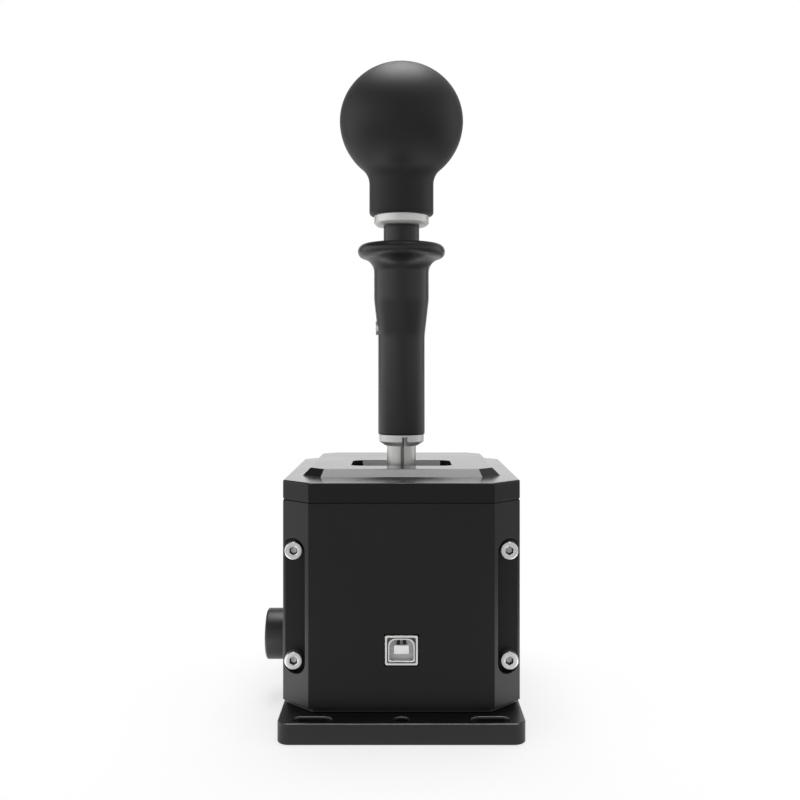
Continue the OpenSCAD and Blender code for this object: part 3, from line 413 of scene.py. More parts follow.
def finish(name, tint, roughness, metallic=0.0, scale=2500.0, stretch=(1, 1, 1), depth=0.02, amount=0.12,
           ior=1.45):
    """A finish with fine grain in its bump, to a depth in millimetres, and faint marks of handling."""
    if name in bpy.data.materials:
        return bpy.data.materials[name]
    material = bpy.data.materials.new(name)
    material.use_nodes = True
    material.diffuse_color = (*tint, 1)
    tree = material.node_tree
    shader = tree.nodes["Principled BSDF"]
    shader.inputs["Metallic"].default_value = metallic
    shader.inputs["IOR"].default_value = ior
    grain = tree.nodes.new("ShaderNodeGroup")
    grain.node_tree = grain_group()
    grain.inputs["Scale"].default_value = scale
    grain.inputs["Stretch"].default_value = stretch
    marks = tree.nodes.new("ShaderNodeGroup")
    marks.node_tree = handling_group()
    marks.inputs["Color"].default_value = (*tint, 1)
    marks.inputs["Roughness"].default_value = roughness
    marks.inputs["Amount"].default_value = amount
    tree.links.new(grain.outputs["Mask"], marks.inputs["Mask"])
    tree.links.new(grain.outputs["Height"], marks.inputs["Height"])
    tree.links.new(marks.outputs["Color"], shader.inputs["Base Color"])
    tree.links.new(marks.outputs["Roughness"], shader.inputs["Roughness"])
    bump = tree.nodes.new("ShaderNodeBump")
    bump.inputs["Strength"].default_value = 1.0
    bump.inputs["Distance"].default_value = depth * MM
    tree.links.new(grain.outputs["Height"], bump.inputs["Height"])
    tree.links.new(bump.outputs["Normal"], shader.inputs["Normal"])
    return material


def rim_group():
    """Bare metal on the plate: a band on the upper rims of its holes, and its front and back chamfers."""
    if "Worn rim" in bpy.data.node_groups:
        return bpy.data.node_groups["Worn rim"]
    reach_x, reach_y, pad_top = (float(reach) for reach in low_high("base_plate")[1])
    pad, skin, hole_band, chamfer_band = 1.7 * MM, 0.03 * MM, 0.8 * MM, 0.38 * MM
    outer_wall, chamfer, least_bare = 1.5 * MM, 0.5 * MM, 0.35
    plate_top = pad_top - pad
    group, entry, leave = shader_group(
        "Worn rim",
        [("Color", "NodeSocketColor", (0, 0, 0, 1)), ("Bare", "NodeSocketColor", (0.4, 0.4, 0.4, 1)),
         ("Mask", "NodeSocketFloat", 0.5)],
        [("Color", "NodeSocketColor"), ("Metallic", "NodeSocketFloat")])
    where = group.nodes.new("ShaderNodeTexCoord")
    parts = group.nodes.new("ShaderNodeSeparateXYZ")
    group.links.new(where.outputs["Object"], parts.inputs[0])
    aside = maths(group, "ABSOLUTE", parts.outputs["X"], 0)
    along = maths(group, "ABSOLUTE", parts.outputs["Y"], 0)
    rims = between(group, parts.outputs["Z"], plate_top - hole_band, plate_top - skin)
    for away, reach in ((aside, reach_x), (along, reach_y)):
        inside = maths(group, "LESS_THAN", away, reach - outer_wall)
        rims = maths(group, "MULTIPLY", rims, inside)
    chamfers = between(group, parts.outputs["Z"], plate_top - chamfer_band, plate_top - skin)
    outside = maths(group, "GREATER_THAN", along, reach_y - chamfer)
    band = maths(group, "ADD", rims, maths(group, "MULTIPLY", chamfers, outside), clamp=True)
    patches = maths(group, "ADD", entry.outputs["Mask"], least_bare)
    share = maths(group, "MULTIPLY", band, patches, clamp=True)
    mix = group.nodes.new("ShaderNodeMix")
    mix.data_type = "RGBA"
    group.links.new(share, mix.inputs["Factor"])
    group.links.new(entry.outputs["Color"], mix.inputs["A"])
    group.links.new(entry.outputs["Bare"], mix.inputs["B"])
    group.links.new(mix.outputs["Result"], leave.inputs["Color"])
    group.links.new(share, leave.inputs["Metallic"])
    return group


def worn_rims(material):
    """Puts the worn rim between a finish's colour and its shader."""
    tree = material.node_tree
    shader = tree.nodes["Principled BSDF"]
    if shader.inputs["Metallic"].is_linked:
        return material
    link = shader.inputs["Base Color"].links[0]
    groups = [node for node in tree.nodes if node.type == "GROUP"]
    grain = next(node for node in groups if node.node_tree.name == "Fine grain")
    rim = tree.nodes.new("ShaderNodeGroup")
    rim.node_tree = rim_group()
    rim.inputs["Bare"].default_value = (*grey(0.19), 1)
    tree.links.new(grain.outputs["Mask"], rim.inputs["Mask"])
    tree.links.new(link.from_socket, rim.inputs["Color"])
    tree.links.new(rim.outputs["Color"], shader.inputs["Base Color"])
    tree.links.new(rim.outputs["Metallic"], shader.inputs["Metallic"])
    return material


def finishes(context):
    """Every finish of the shifter, by name."""
    f = context.scene.shifter_finishes
    turned = (0.12, 0.12, 2.2)
    anodised = {"scale": 2600, "depth": 0.006}
    satin = {"scale": 1800, "depth": 0.0015, "amount": 0.05}
    blasted = {"scale": 2600, "depth": 0.002, "amount": 0.08}
    grip_black = (0.0105, 0.0105, 0.0108)
    return {
        "housing": finish("Black anodised", f.housing, 0.4, ior=1.37, **anodised),
        "plate": worn_rims(finish("Black anodised plate", f.plate, 0.36, ior=1.54, **anodised)),
        "deck": finish("Black satin paint", f.deck, 0.22, ior=1.43, **satin),
        "rim": finish("Black satin rim", f.deck, 0.34, scale=1800, depth=0.003, ior=1.33),
        "slope": finish("Black satin slope", f.deck, 0.22, ior=1.56, **satin),
        # Bare cut metal, only on the far wall of the lever opening: partly a cut finish, partly painted
        # light.
        "bare": finish("Bare cut edge with painted light", grey(0.72), 0.5, 1.0, 1800, depth=0.003),
        "ball": finish("Moulded black", f.ball, 0.54, scale=3200, depth=0.006, ior=1.39),
        "grip": finish("Moulded knob black", grip_black, 0.4, scale=3000, depth=0.006, ior=1.5),
        "sleeve": finish("Turned black", f.sleeve, 0.34, scale=3000, stretch=turned, depth=0.003),
        "bright": finish("Turned bright metal", f.bright, 0.3, 0.75, 2600, turned, 0.001, 0.08),
        "ferrule": finish("Blasted metal", (0.7, 0.7, 0.69), 0.3, 0.45, **blasted),
        "ring": finish("Satin ring", (0.6, 0.6, 0.59), 0.35, 0.4, **blasted),
        "wire": finish("Drawn wire", grey(0.24), 0.4, 1.0, 3000, turned, 0.002),
        "screw": finish("Plated screw", f.screw, 0.34, 1.0, 3000, depth=0.004),
        # The screw recess is painted darker than its plating as shade: near-black walls and a greyer floor.
        "recess": finish("Screw recess painted shade", grey(0.04), 0.5, 0.0, 3000, depth=0.004),
        "recess_floor_painted_shade": finish("Screw recess painted shade floor", grey(0.5), 0.45, 1.0, 3000, depth=0.004),
        "socket": finish("Nickel plate", f.socket, 0.45, 1.0, 2600, depth=0.002),
        "throat": finish("Socket throat painted shade", grey(0.13), 0.5, 0.0, 2600, depth=0.004),
        "lining": finish("Socket lining", grey(0.52), 0.5, 0.0, 2600, depth=0.004),
        # Near-black, used as painted shade: the pits of the socket and the neck of the top cover's seam.
        "pit": finish("Painted shade black", grey(0.003), 0.7, 0.0, 2600, depth=0.004),
        "tongue": finish("White plastic", f.tongue, 0.4, 0.0, 2600, depth=0.004, amount=0.05),
        "steel": finish("Brushed steel", f.steel, 0.36, 1.0, 1800, (0.2, 2.0, 0.2), 0.004),
        "bronze": finish("Sintered bronze", f.bronze, 0.4, 1.0, 3200, depth=0.01),
        "board": finish("Circuit board", f.board, 0.3, 0.0, 900, (1, 1, 0.1), 0.004, 0.3),
        "spring": finish("Spring wire", grey(0.5), 0.3, 1.0, 3500, depth=0.003),
        "sheath": finish("Flat lead", (0.03, 0.03, 0.032), 0.5, 0.0, 1500, (8, 0.2, 1), 0.02),
    }


class SHIFTER_OT_housing(bpy.types.Operator):
    """Dress the base plate, the side walls and the two end covers"""

    bl_idname = "shifter.housing"
    bl_label = "Housing"

    def execute(self, context):
        s, f = context.scene.shifter_sizes, finishes(context)
        dressed("base_plate", "housing", "black_anodised", s.plate_edge, f["plate"], segments=1)
        for node in ("left_side_wall", "right_side_wall", "port_cover", "far_cover"):
            dressed(node, "housing", "black_anodised", s.wall_edge, f["housing"])
        return {"FINISHED"}


class SHIFTER_OT_top_cover(bpy.types.Operator):
    """Loft the top cover from its rim over the raised deck into the lever opening"""

    bl_idname = "shifter.top_cover"
    bl_label = "Top cover"

    def execute(self, context):
        s, f = context.scene.shifter_sizes, finishes(context)
        low, high = low_high("top_cover")
        half_w, half_d, foot, deck = high[0], high[1], low[2], high[2]
        seam_top, ledge, ceiling = foot + 0.6 * MM, deck - 3 * MM, deck - 7 * MM
        edge, seam, rim_cut, cut_rate = 0.35 * MM, 0.32 * MM, 10.6 * MM, 2 - math.sqrt(2)
        deck_side, deck_front, deck_back, deck_cut = 6 * MM, 18.1 * MM, 7.1 * MM, 7.5 * MM
        slope, bare_from = 3 * MM, deck - 0.3 * MM
        slot_x, slot_y, slot_r = 20.5 * MM, 11.75 * MM, 4 * MM
        cavity_x, cavity_wall, cavity_r = 33 * MM, 8 * MM, 0.5 * MM

        def rim(inset):
            return cut_octagon(half_w - inset, inset - half_d, half_d - inset, rim_cut - inset * cut_rate)

        def plateau(inset):
            return cut_octagon(half_w - deck_side - inset, inset + deck_front - half_d,
                               half_d - deck_back - inset, deck_cut - inset * cut_rate)

        opening = rounded_slot(slot_x, LEVER_Y - slot_y, LEVER_Y + slot_y, slot_r)
        cavity = rounded_slot(cavity_x, cavity_wall - half_d, half_d - cavity_wall, cavity_r)
        deck_paint, bare, rim_paint, shade, slope_paint = range(5)
        # Each ring, its height, and the finish from there to the next ring; the seam's neck takes the
        # near-black finish as painted shade.
        rows = [(cavity, foot, deck_paint), (rim(seam), foot, shade), (rim(seam), seam_top, shade),
                (rim(0), seam_top, rim_paint), (rim(0), ledge - edge, deck_paint),
                (rim(edge), ledge, slope_paint), (plateau(0), ledge, slope_paint),
                (plateau(slope), deck, deck_paint), (opening, deck, deck_paint),
                (opening, bare_from, deck_paint), (opening, ceiling, deck_paint),
                (cavity, ceiling, deck_paint)]
        rings = np.stack([at_height(ring, z) for ring, z, _ in rows])
        finish_of = np.array([[paint] * rings.shape[1] for _, _, paint in rows])
        # Bare cut metal on the far wall of the opening only: a cut finish, placed on the one wall facing
        # the front as painted light.
        bare_row, back_side = 9, slice(4 * SIDE_STEPS, 5 * SIDE_STEPS)
        finish_of[bare_row, back_side] = bare
        mesh = surface("top_cover.lofted", rings, wrap_rows=True, row_finish=finish_of)
        cover = place(mesh, "housing", "black_paint", ["top_cover"], f["deck"], f["bare"], f["rim"],
                      f["pit"], f["slope"])
        round_edges(cover, s.deck_edge)
        return {"FINISHED"}


def socket_screws(name, seats, into, head, shank, hexagon):
    """Socket head screws, one a seat, each of rings from the shank's tip round the head into a recess.

    A ring of the recess has six sides: its radius is the hexagon's half width over the cosine of the angle
    from the middle of the nearest side.
    """
    head_r, head_h = head
    shank_r, shank_l = shank
    columns, foot_r, crown_r, lip_r, lip = 48, 0.1 * MM, 0.4 * MM, 0.05 * MM, 0.1 * MM
    lip_out, lip_in = 1.3 * hexagon, 1.16 * hexagon
    angle = np.linspace(0, 2 * np.pi, columns, endpoint=False)
    six = hexagon / np.cos((angle + np.pi / 6) % (np.pi / 3) - np.pi / 6)
    side = eased([[shank_r, 0], [head_r, 0], [head_r, head_h], [lip_out, head_h],
                  [lip_in, head_h - lip]], [foot_r, crown_r, lip_r], steps=4)
    round_rows = np.concatenate([[[0, -shank_l], [shank_r, -shank_l]], side])
    # Each ring of the recess: its share of the hexagon, and its depth in millimetres.
    share, depth = np.array([[1, 0.1], [0.97, 0.25], [0.72, 1.6], [0.4, 1.6], [0, 1.9]]).T
    radius = np.concatenate([round_rows[:, :1] * np.ones(columns), share[:, None] * six])
    height = np.concatenate([round_rows[:, 1], head_h - depth * MM])[:, None, None]
    along, across = np.array(into, float), np.array([1.0, 0, 0])
    third = np.cross(along, across)
    a, b = radius * np.cos(angle), radius * np.sin(angle)
    one = a[..., None] * across + b[..., None] * third - height * along
    every = np.array(seats)[:, None, None, :] + one
    shift = np.arange(len(seats))[:, None, None] * radius.size
    faces = (grid_faces(*radius.shape) + shift).reshape(-1, 4)
    # The recess rows are painted shade: near-black walls and a floor greyer than the plating.
    plated, recess, recess_floor_painted_shade = range(3)
    row_finish = np.full(len(radius) - 1, plated, np.int32)
    row_finish[-4:-2] = recess
    row_finish[-2:] = recess_floor_painted_shade
    finish_of = np.tile(np.repeat(row_finish, columns), len(seats))
    return mesh_of(name, every, faces, finish_of)


class SHIFTER_OT_cover_screws(bpy.types.Operator):
    """Make the four socket head screws of each end cover"""

    bl_idname = "shifter.cover_screws"
    bl_label = "Cover screws"

    def execute(self, context):
        f = finishes(context)
        solid_r, head_r, head_h, shank_r, hexagon = 3.5 * MM, 3.35 * MM, 4 * MM, 2 * MM, 1.45 * MM
        for node, side in (("port_cover_screws", -1), ("far_cover_screws", 1)):
            low, high = low_high(node)
            top, tip = (low[1], high[1]) if side < 0 else (high[1], low[1])
            seat = top - side * head_h
            seats = [[x, seat, z] for x in (low[0] + solid_r, high[0] - solid_r)
                     for z in (low[2] + solid_r, high[2] - solid_r)]
            mesh = socket_screws(node + ".turned", seats, (0, -side, 0), (head_r, head_h),
                                 (shank_r, abs(seat - tip)), hexagon)
            place(mesh, "housing", "bright_metal", [node], f["screw"], f["recess"], f["recess_floor_painted_shade"])
        return {"FINISHED"}


def painted_shadow_pits(front, height):
    """Two round near-black pits side by side in a socket's mouth, painted shadow of the contacts over the
    tongue, each a closed can: (u, v) is ring u at angle v.
    """
    radius, aside, near, far, columns = 0.72 * MM, 1.12 * MM, 1.6 * MM, 2.9 * MM, 24
    angle = np.linspace(0, 2 * np.pi, columns, endpoint=False)
    radii = np.array([0, radius, radius, 0])[:, None]
    depth = np.array([near, near, far, far])[:, None]
    x, z = radii * np.cos(angle), radii * np.sin(angle)
    pit = np.stack([x, np.broadcast_to(front + depth, x.shape), height + z], -1)
    pair = np.stack([pit - [aside, 0, 0], pit + [aside, 0, 0]])
    faces = grid_faces(*x.shape)
    return mesh_of("usb_painted_shadow_pits", pair, np.concatenate([faces, faces + x.size]))


class SHIFTER_OT_usb_socket(bpy.types.Operator):
    """Loft the data socket's shell and mouth, and make its two pits of painted shadow and its tongue"""

    bl_idname = "shifter.usb_socket"
    bl_label = "Data socket"

    def execute(self, context):
        s, f = context.scene.shifter_sizes, finishes(context)
        low, high = low_high("usb_shell")
        half, front, back = high[0], low[1], high[1]
        shell_r, mouth_low_r, mouth_high_r = 0.6 * MM, 0.7 * MM, 2.7 * MM

        def upright(inset, depth, *radii):
            ring = rounded_slot(half - inset, low[2] + inset, high[2] - inset, *radii)
            return at_depth(ring, front + depth)

        def closed(ring):
            return np.broadcast_to(ring.mean(0), ring.shape)

        # Insets and depths in millimetres: over the shell's front edge down into the groove behind it,
        # and out of the groove over the lip of the mouth down to the floor.
        shell_steps = np.array([[0, 0.06], [0.06, 0], [0.68, 0], [0.72, 0.1], [0.72, 1.3]]) * MM
        mouth_steps = np.array([[1.1, 1.3], [1.1, 0.35], [1.15, 0.3], [1.48, 0.3], [1.55, 0.4],
                                [1.55, 2.6]]) * MM
        rear = upright(0, back - front, shell_r)
        shell = [upright(*step, shell_r) for step in shell_steps]
        mouth = [upright(*step, mouth_low_r, mouth_high_r) for step in mouth_steps]
        rings = np.stack([closed(rear), rear, *shell, *mouth, closed(mouth[-1])])
        # The groove behind the shell's front edge and the lip's outer wall take dark grey as painted shade.
        plated, throat, lining = range(3)
        row_finish = [plated] * 6 + [throat] * 2 + [plated] * 3 + [lining] * 2
        mesh = surface("usb_shell.lofted", rings, row_finish=row_finish)
        place(mesh, "housing", "bright_metal", ["usb_shell"], f["socket"], f["throat"], f["lining"])
        over_tongue = (low[2] + high[2]) / 2 + 2.45 * MM
        # The pits are near-black cans: painted shadow of the contacts over the tongue.
        place(painted_shadow_pits(front, over_tongue), "housing", "black_plastic", [], f["pit"])
        dressed("usb_insert", "housing", "white_plastic", s.inner_edge, f["tongue"])
        return {"FINISHED"}


class SHIFTER_OT_lever(bpy.types.Operator):
    """Dress the rod, the ferrule and the sleeve's side screw, and turn the ring"""

    bl_idname = "shifter.lever"
    bl_label = "Lever"

    def execute(self, context):
        s, f = context.scene.shifter_sizes, finishes(context)
        for node, body, kind in (("lever_rod", "lever", "bright"), ("sleeve_ferrule", "sleeve", "ferrule"),
                                 ("sleeve_screw", "sleeve", "screw")):
            dressed(node, body, "bright_metal", s.inner_edge, f[kind])
        low, high = low_high("knob_ring")
        bottom, top = low[2], high[2]
        bore, band, foot_in, foot_up = 5.05 * MM, min(11.4 * MM, high[0]), 1.1 * MM, 1.0 * MM
        edge, shoulder = 0.2 * MM, 0.3 * MM
        profile = eased([[bore, bottom], [band - foot_in, bottom], [band, bottom + foot_up], [band, top],
                         [bore, top], [bore, bottom]], [edge, shoulder, edge, 0], steps=5)
        mesh = surface("knob_ring.turned", spun(profile, s.turn_steps))
        place(mesh, "lever", "bright_metal", ["knob_ring"], f["ring"])
        return {"FINISHED"}


class SHIFTER_OT_lift_sleeve(bpy.types.Operator):
    """Turn the lift sleeve with its flange, and place a copy of the spring inside"""

    bl_idname = "shifter.lift_sleeve"
    bl_label = "Lift sleeve"

    def execute(self, context):
        s, f = context.scene.shifter_sizes, finishes(context)
        low, high = low_high("lift_sleeve")
        bottom, top, flange = low[2], high[2], high[0]
        sleeve, collar, bore, wide_bore = 9.65 * MM, 11.35 * MM, 7.45 * MM, 7.9 * MM
        taper, collar_low, step = bottom + 40.7 * MM, bottom + 55.6 * MM, bottom + 20 * MM
        rim, hollow, edge, taper_r, mouth = 3 * MM, 6 * MM, 0.5 * MM, 30 * MM, 0.3 * MM
        hollow_r, rim_r = collar + hollow, flange - rim
        drop = math.sqrt((hollow + rim) ** 2 - (hollow_r - rim_r) ** 2)
        hollow_z = top - rim - drop
        meet = math.degrees(math.atan2(drop, rim_r - hollow_r))
        outer = np.concatenate([
            eased([[wide_bore, bottom], [sleeve, bottom], [sleeve, taper], [collar, collar_low],
                   [collar, hollow_z]], [edge, taper_r, taper_r], steps=12)[:-1],
            arc((hollow_r, hollow_z), hollow, 180, meet, steps=16),
            arc((rim_r, top - rim), rim, meet - 180, 90, steps=24)[1:],
            [[bore + mouth, top], [bore, top - mouth], [bore, step], [wide_bore, step],
             [wide_bore, bottom]]])
        mesh = surface("lift_sleeve.turned", spun(outer, s.turn_steps))
        place(mesh, "sleeve", "black_anodised", ["lift_sleeve"], f["sleeve"])
        low, high = low_high("lift_spring")
        spring = place(copied("lift_spring"), "lever", "inner_steel", ["lift_spring"], f["spring"])
        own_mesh(spring)
        return {"FINISHED"}


class SHIFTER_OT_gear_knob(bpy.types.Operator):
    """Turn the ball knob with its neck and bore"""

    bl_idname = "shifter.gear_knob"
    bl_label = "Ball knob"

    def execute(self, context):
        s, f = context.scene.shifter_sizes, finishes(context)
        low, high = low_high("gear_knob")
        bottom, ball = low[2], high[0]
        centre = high[2] - ball * s.crown
        neck, blend, edge = 13.3 * MM, s.neck_blend, 1.5 * MM
        hollow = centre - math.sqrt((ball + blend) ** 2 - (neck + blend) ** 2)
        tilt = math.degrees(math.atan2(hollow - centre, neck + blend))
        insert, insert_top = 8.02 * MM, bottom + 21 * MM
        stud, stud_top = 5.02 * MM, bottom + 23 * MM
        profile = np.concatenate([
            [[0, stud_top], [stud, stud_top], [stud, insert_top], [insert, insert_top], [insert, bottom]],
            eased([[insert, bottom], [neck, bottom], [neck, hollow]], [edge], steps=8)[1:],
            arc((neck + blend, hollow), blend, 180, 180 + tilt, steps=12)[1:],
            arc((0, centre), ball, tilt, 0, steps=32)[1:],
            arc((0, centre), ball, 0, 90, steps=40)[1:] * [1, s.crown] + [0, centre * (1 - s.crown)]])
        mesh = surface("gear_knob.turned", spun(profile, s.turn_steps))
        place(mesh, "lever", "black_plastic", ["gear_knob"], f["ball"])
        return {"FINISHED"}


class SHIFTER_OT_adjuster(bpy.types.Operator):
    """Dress the adjusting knob on the left wall"""

    bl_idname = "shifter.adjuster"
    bl_label = "Adjusting knob"

    def execute(self, context):
        edge = 0.3 * MM
        dressed("adjust_knob", "adjuster", "black_plastic", edge, finishes(context)["grip"])
        return {"FINISHED"}


class SHIFTER_OT_inner_pieces(bpy.types.Operator):
    """Give the solids that stay as they are their finishes"""

    bl_idname = "shifter.inner_pieces"
    bl_label = "Inner pieces"

    def execute(self, context):
        f = finishes(context)
        groups = {
            "sleeve": ("lever_tube",),
            "screw": ("base_screws", "top_cover_screws", "board_screws", "bracket_screws", "gate_screws",
                      "sector_screws", "adjust_grub"),
            "bright": ("gate_spacers", "detent_barrel", "detent_plunger", "friction_plunger",
                       "cradle_shafts", "cross_pin", "rod_pin", "gate_pin", "lockout_ring",
                       "adjust_spindle"),
            "steel": ("left_bracket", "right_bracket", "gate_plate", "cradle_frame", "friction_sector",
                      "detent_sector", "lever_hub", "tip_magnet", "cross_pin_clips"),
            "bronze": ("pivot_bushes", "spindle_bush", "friction_pad", "hub_bushes", "adjuster_nut",
                       "board_standoffs", "knob_insert"),
            "board": ("main_board", "hall_board"),
            "spring": ("detent_spring", "friction_springs", "select_springs"),
            "wire": ("pull_wire",),
            "sheath": ("sensor_lead",),
        }
        for finish_name, nodes in groups.items():
            for node in nodes:
                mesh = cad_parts[node].data
                mesh.materials.clear()
                mesh.materials.append(f[finish_name])
        return {"FINISHED"}


def mapped(tree, value, start, stop, at_start=0, at_stop=1):
    """A value carried evenly from one range to another, and held beyond its ends."""
    node = tree.nodes.new("ShaderNodeMapRange")
    node.inputs["From Min"].default_value = start
    node.inputs["From Max"].default_value = stop
    node.inputs["To Min"].default_value = at_start
    node.inputs["To Max"].default_value = at_stop
    tree.links.new(value, node.inputs["Value"])
    return node.outputs[0]


def studio_world(scene):
    """A white background for the camera, and for the object a room: pale behind, softboxes at the sides."""
    world = bpy.data.worlds.new("White studio")
    scene.world = world
    world.use_nodes = True
    tree = world.node_tree
    back = tree.nodes["Background"]
    where = tree.nodes.new("ShaderNodeTexCoord")
    parts = tree.nodes.new("ShaderNodeSeparateXYZ")
    tree.links.new(where.outputs["Generated"], parts.inputs[0])
    forward = maths(tree, "MULTIPLY", parts.outputs["Y"], -1)
    angle = maths(tree, "ARCTAN2", parts.outputs["X"], forward)
    share = maths(tree, "ADD", maths(tree, "DIVIDE", angle, 2 * math.pi), 0.5)
    ramp = tree.nodes.new("ShaderNodeValToRGB")
    # Shares of a turn from the back, by the left, the front and the right, each with its brightness.
    stops = [(0.0, 1.3), (0.075, 1.3), (0.09, 0.1), (0.14, 0.1), (0.155, 1.6), (0.22, 1.6), (0.28, 1.85),
             (0.33, 1.65), (0.38, 1.4), (0.43, 1.05), (0.48, 0.6), (0.52, 0.6), (0.58, 0.85),
             (0.64, 0.85), (0.7, 1.05), (0.76, 0.95), (0.81, 1.4), (0.845, 1.6), (0.86, 0.1),
             (0.91, 0.1), (0.925, 1.3), (1.0, 1.3)]
    line = ramp.color_ramp
    line.interpolation = "LINEAR"
    line.elements[0].position, line.elements[1].position = stops[0][0], stops[-1][0]
    for position, _ in stops[1:-1]:
        line.elements.new(position)
    for element, (_, value) in zip(line.elements, stops):
        element.color = (*grey(value), 1)
    tree.links.new(share, ramp.inputs[0])
    ceiling_from, ceiling_to, ceiling_grey, ceiling_tilt = 0.35, 0.6, 0.25, 0.3
    height = mapped(tree, parts.outputs["Z"], ceiling_from, ceiling_to)
    above = maths(tree, "ADD", maths(tree, "MULTIPLY", parts.outputs["X"], ceiling_tilt), ceiling_grey)
    ceiling = tree.nodes.new("ShaderNodeMix")
    ceiling.data_type = "RGBA"
    tree.links.new(height, ceiling.inputs["Factor"])
    tree.links.new(ramp.outputs[0], ceiling.inputs["A"])
    tree.links.new(above, ceiling.inputs["B"])
    path = tree.nodes.new("ShaderNodeLightPath")
    seen = maths(tree, "ADD", path.outputs["Is Camera Ray"], path.outputs["Is Transmission Ray"], True)
    show = tree.nodes.new("ShaderNodeMix")
    show.data_type = "RGBA"
    tree.links.new(seen, show.inputs["Factor"])
    tree.links.new(ceiling.outputs["Result"], show.inputs["A"])
    show.inputs["B"].default_value = (1, 1, 1, 1)
    tree.links.new(show.outputs["Result"], back.inputs["Color"])


def dimmed(tree, value, start, stop, back_start, back_stop, less, back):
    """One less a share between a start and a stop, part of which comes back further out."""
    loss = mapped(tree, value, start, stop, at_stop=less)
    gain = mapped(tree, value, back_start, back_stop, at_stop=back)
    return maths(tree, "ADD", maths(tree, "SUBTRACT", 1.0, loss), gain)


def floor_finish(shadow):
    """White for the camera and greyer for reflections, with part of the object's shadow close to it."""
    material = bpy.data.materials.new("White floor")
    material.use_nodes = True
    tree = material.node_tree
    tree.nodes.remove(tree.nodes["Principled BSDF"])
    leave = tree.nodes["Material Output"]
    matt = tree.nodes.new("ShaderNodeBsdfDiffuse")
    matt.inputs["Color"].default_value = (*grey(0.85), 1)
    white = tree.nodes.new("ShaderNodeEmission")
    where = tree.nodes.new("ShaderNodeTexCoord")
    far = tree.nodes.new("ShaderNodeVectorMath")
    far.operation = "LENGTH"
    tree.links.new(where.outputs["Object"], far.inputs[0])
    fade = mapped(tree, far.outputs["Value"], start=0.1, stop=0.35, at_start=shadow, at_stop=0)
    path = tree.nodes.new("ShaderNodeLightPath")
    seen = maths(tree, "ADD", path.outputs["Is Camera Ray"], path.outputs["Is Transmission Ray"], True)
    seen = maths(tree, "ADD", seen, path.outputs["Is Glossy Ray"], True)
    unseen = maths(tree, "SUBTRACT", 1.0, seen)
    parts = tree.nodes.new("ShaderNodeSeparateXYZ")
    tree.links.new(where.outputs["Object"], parts.inputs[0])
    near = dimmed(tree, parts.outputs["Y"], start=-0.05, stop=-0.1, back_start=-0.8, back_stop=-1.0,
                  less=0.54, back=0.34)
    aside = dimmed(tree, parts.outputs["X"], start=0.15, stop=0.35, back_start=0.7, back_stop=0.9,
                   less=0.62, back=0.6)
    dark = maths(tree, "SUBTRACT", 1.0, maths(tree, "MULTIPLY", near, aside))
    reflected = maths(tree, "MULTIPLY", dark, path.outputs["Is Glossy Ray"])
    tree.links.new(maths(tree, "SUBTRACT", 1.0, reflected), white.inputs["Strength"])
    share = maths(tree, "ADD", unseen, maths(tree, "MULTIPLY", seen, fade))
    mix = tree.nodes.new("ShaderNodeMixShader")
    tree.links.new(share, mix.inputs["Fac"])
    tree.links.new(white.outputs[0], mix.inputs[1])
    tree.links.new(matt.outputs[0], mix.inputs[2])
    tree.links.new(mix.outputs[0], leave.inputs["Surface"])
    return material


def softbox(scene, name, place_at, size, power, up=False):
    """A flat lamp that the camera doesn't see, facing down or up."""
    lamp = bpy.data.lights.new(name, "AREA")
    lamp.shape = "RECTANGLE"
    lamp.size, lamp.size_y = size
    lamp.energy = power
    item = bpy.data.objects.new(name, lamp)
    item.location = place_at
    item.rotation_euler = (math.pi if up else 0, 0, 0)
    item.visible_camera = False
    scene.collection.objects.link(item)


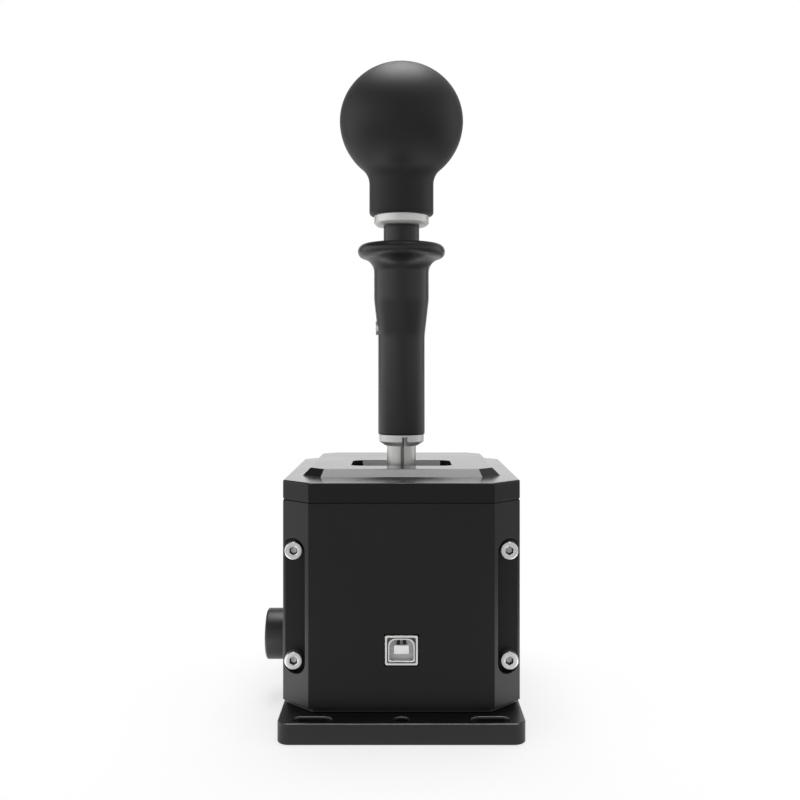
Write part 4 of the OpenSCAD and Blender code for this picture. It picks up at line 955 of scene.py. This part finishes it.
class SHIFTER_OT_stage(bpy.types.Operator):
    """Set up the floor, the lamps, the background and the camera"""

    bl_idname = "shifter.stage"
    bl_label = "Stage"

    def execute(self, context):
        scene, studio = context.scene, context.scene.shifter_studio
        scene.view_settings.view_transform = "Standard"
        studio_world(scene)
        floor_r, floor_rings, floor_columns = 3, 7, 64
        rings = np.column_stack([np.linspace(0, floor_r, floor_rings), np.zeros(floor_rings)])
        mesh = surface("floor", spun(rings, floor_columns, centre=np.zeros(3)))
        mesh.materials.append(floor_finish(studio.shadow))
        floor = bpy.data.objects.new("floor", mesh)
        scene.collection.objects.link(floor)
        softbox(scene, "overhead", place_at=(0, 0.15, 0.95), size=(0.5, 0.62), power=studio.overhead)
        kicker_x, kicker_y, kicker_z, kicker_size = 0.115, -0.03, 0.002, (0.1, 0.25)
        for name, side, power in (("left kicker", -1, studio.left_kicker),
                                  ("right kicker", 1, studio.right_kicker)):
            softbox(scene, name, (side * kicker_x, kicker_y, kicker_z), kicker_size, power, up=True)
        camera = bpy.data.objects.new("camera", bpy.data.cameras.new("camera"))
        camera.location = (0, -studio.distance, studio.height)
        camera.rotation_euler = (math.pi / 2, 0, 0)
        camera.data.lens = studio.lens
        camera.data.sensor_width = 36
        camera.data.shift_x, camera.data.shift_y = -0.0018, -0.04125
        camera.data.clip_start = 0.01
        scene.collection.objects.link(camera)
        scene.camera = camera
        return {"FINISHED"}


STEPS = (SHIFTER_OT_housing, SHIFTER_OT_top_cover, SHIFTER_OT_cover_screws, SHIFTER_OT_usb_socket,
         SHIFTER_OT_lever, SHIFTER_OT_lift_sleeve, SHIFTER_OT_gear_knob, SHIFTER_OT_adjuster,
         SHIFTER_OT_inner_pieces, SHIFTER_OT_stage)


class SHIFTER_PT_looks(bpy.types.Panel):
    """Steps and settings of the shifter's looks"""

    bl_idname = "SHIFTER_PT_looks"
    bl_label = "Shifter looks"
    bl_space_type = "VIEW_3D"
    bl_region_type = "UI"
    bl_category = "Shifter"

    def draw(self, context):
        scene = context.scene
        for step in STEPS:
            self.layout.operator(step.bl_idname)
        for group in (scene.shifter_finishes, scene.shifter_sizes, scene.shifter_studio):
            for name in group.bl_rna.properties.keys():
                if name not in ("rna_type", "name"):
                    self.layout.prop(group, name)


CLASSES = (ShifterFinishes, ShifterSizes, ShifterStudio, *STEPS, SHIFTER_PT_looks)


def register():
    """Registers the classes and hangs the settings on the scene."""
    for entry in CLASSES:
        bpy.utils.register_class(entry)
    bpy.types.Scene.shifter_finishes = PointerProperty(type=ShifterFinishes)
    bpy.types.Scene.shifter_sizes = PointerProperty(type=ShifterSizes)
    bpy.types.Scene.shifter_studio = PointerProperty(type=ShifterStudio)


def unregister():
    """Takes the settings and the classes away."""
    del bpy.types.Scene.shifter_finishes, bpy.types.Scene.shifter_sizes, bpy.types.Scene.shifter_studio
    for entry in reversed(CLASSES):
        bpy.utils.unregister_class(entry)


def main():
    """Runs every step in order."""
    register()
    bpy.ops.shifter.housing()
    bpy.ops.shifter.top_cover()
    bpy.ops.shifter.cover_screws()
    bpy.ops.shifter.usb_socket()
    bpy.ops.shifter.lever()
    bpy.ops.shifter.lift_sleeve()
    bpy.ops.shifter.gear_knob()
    bpy.ops.shifter.adjuster()
    bpy.ops.shifter.inner_pieces()
    bpy.ops.shifter.stage()


if __name__ == "__main__":
    main()
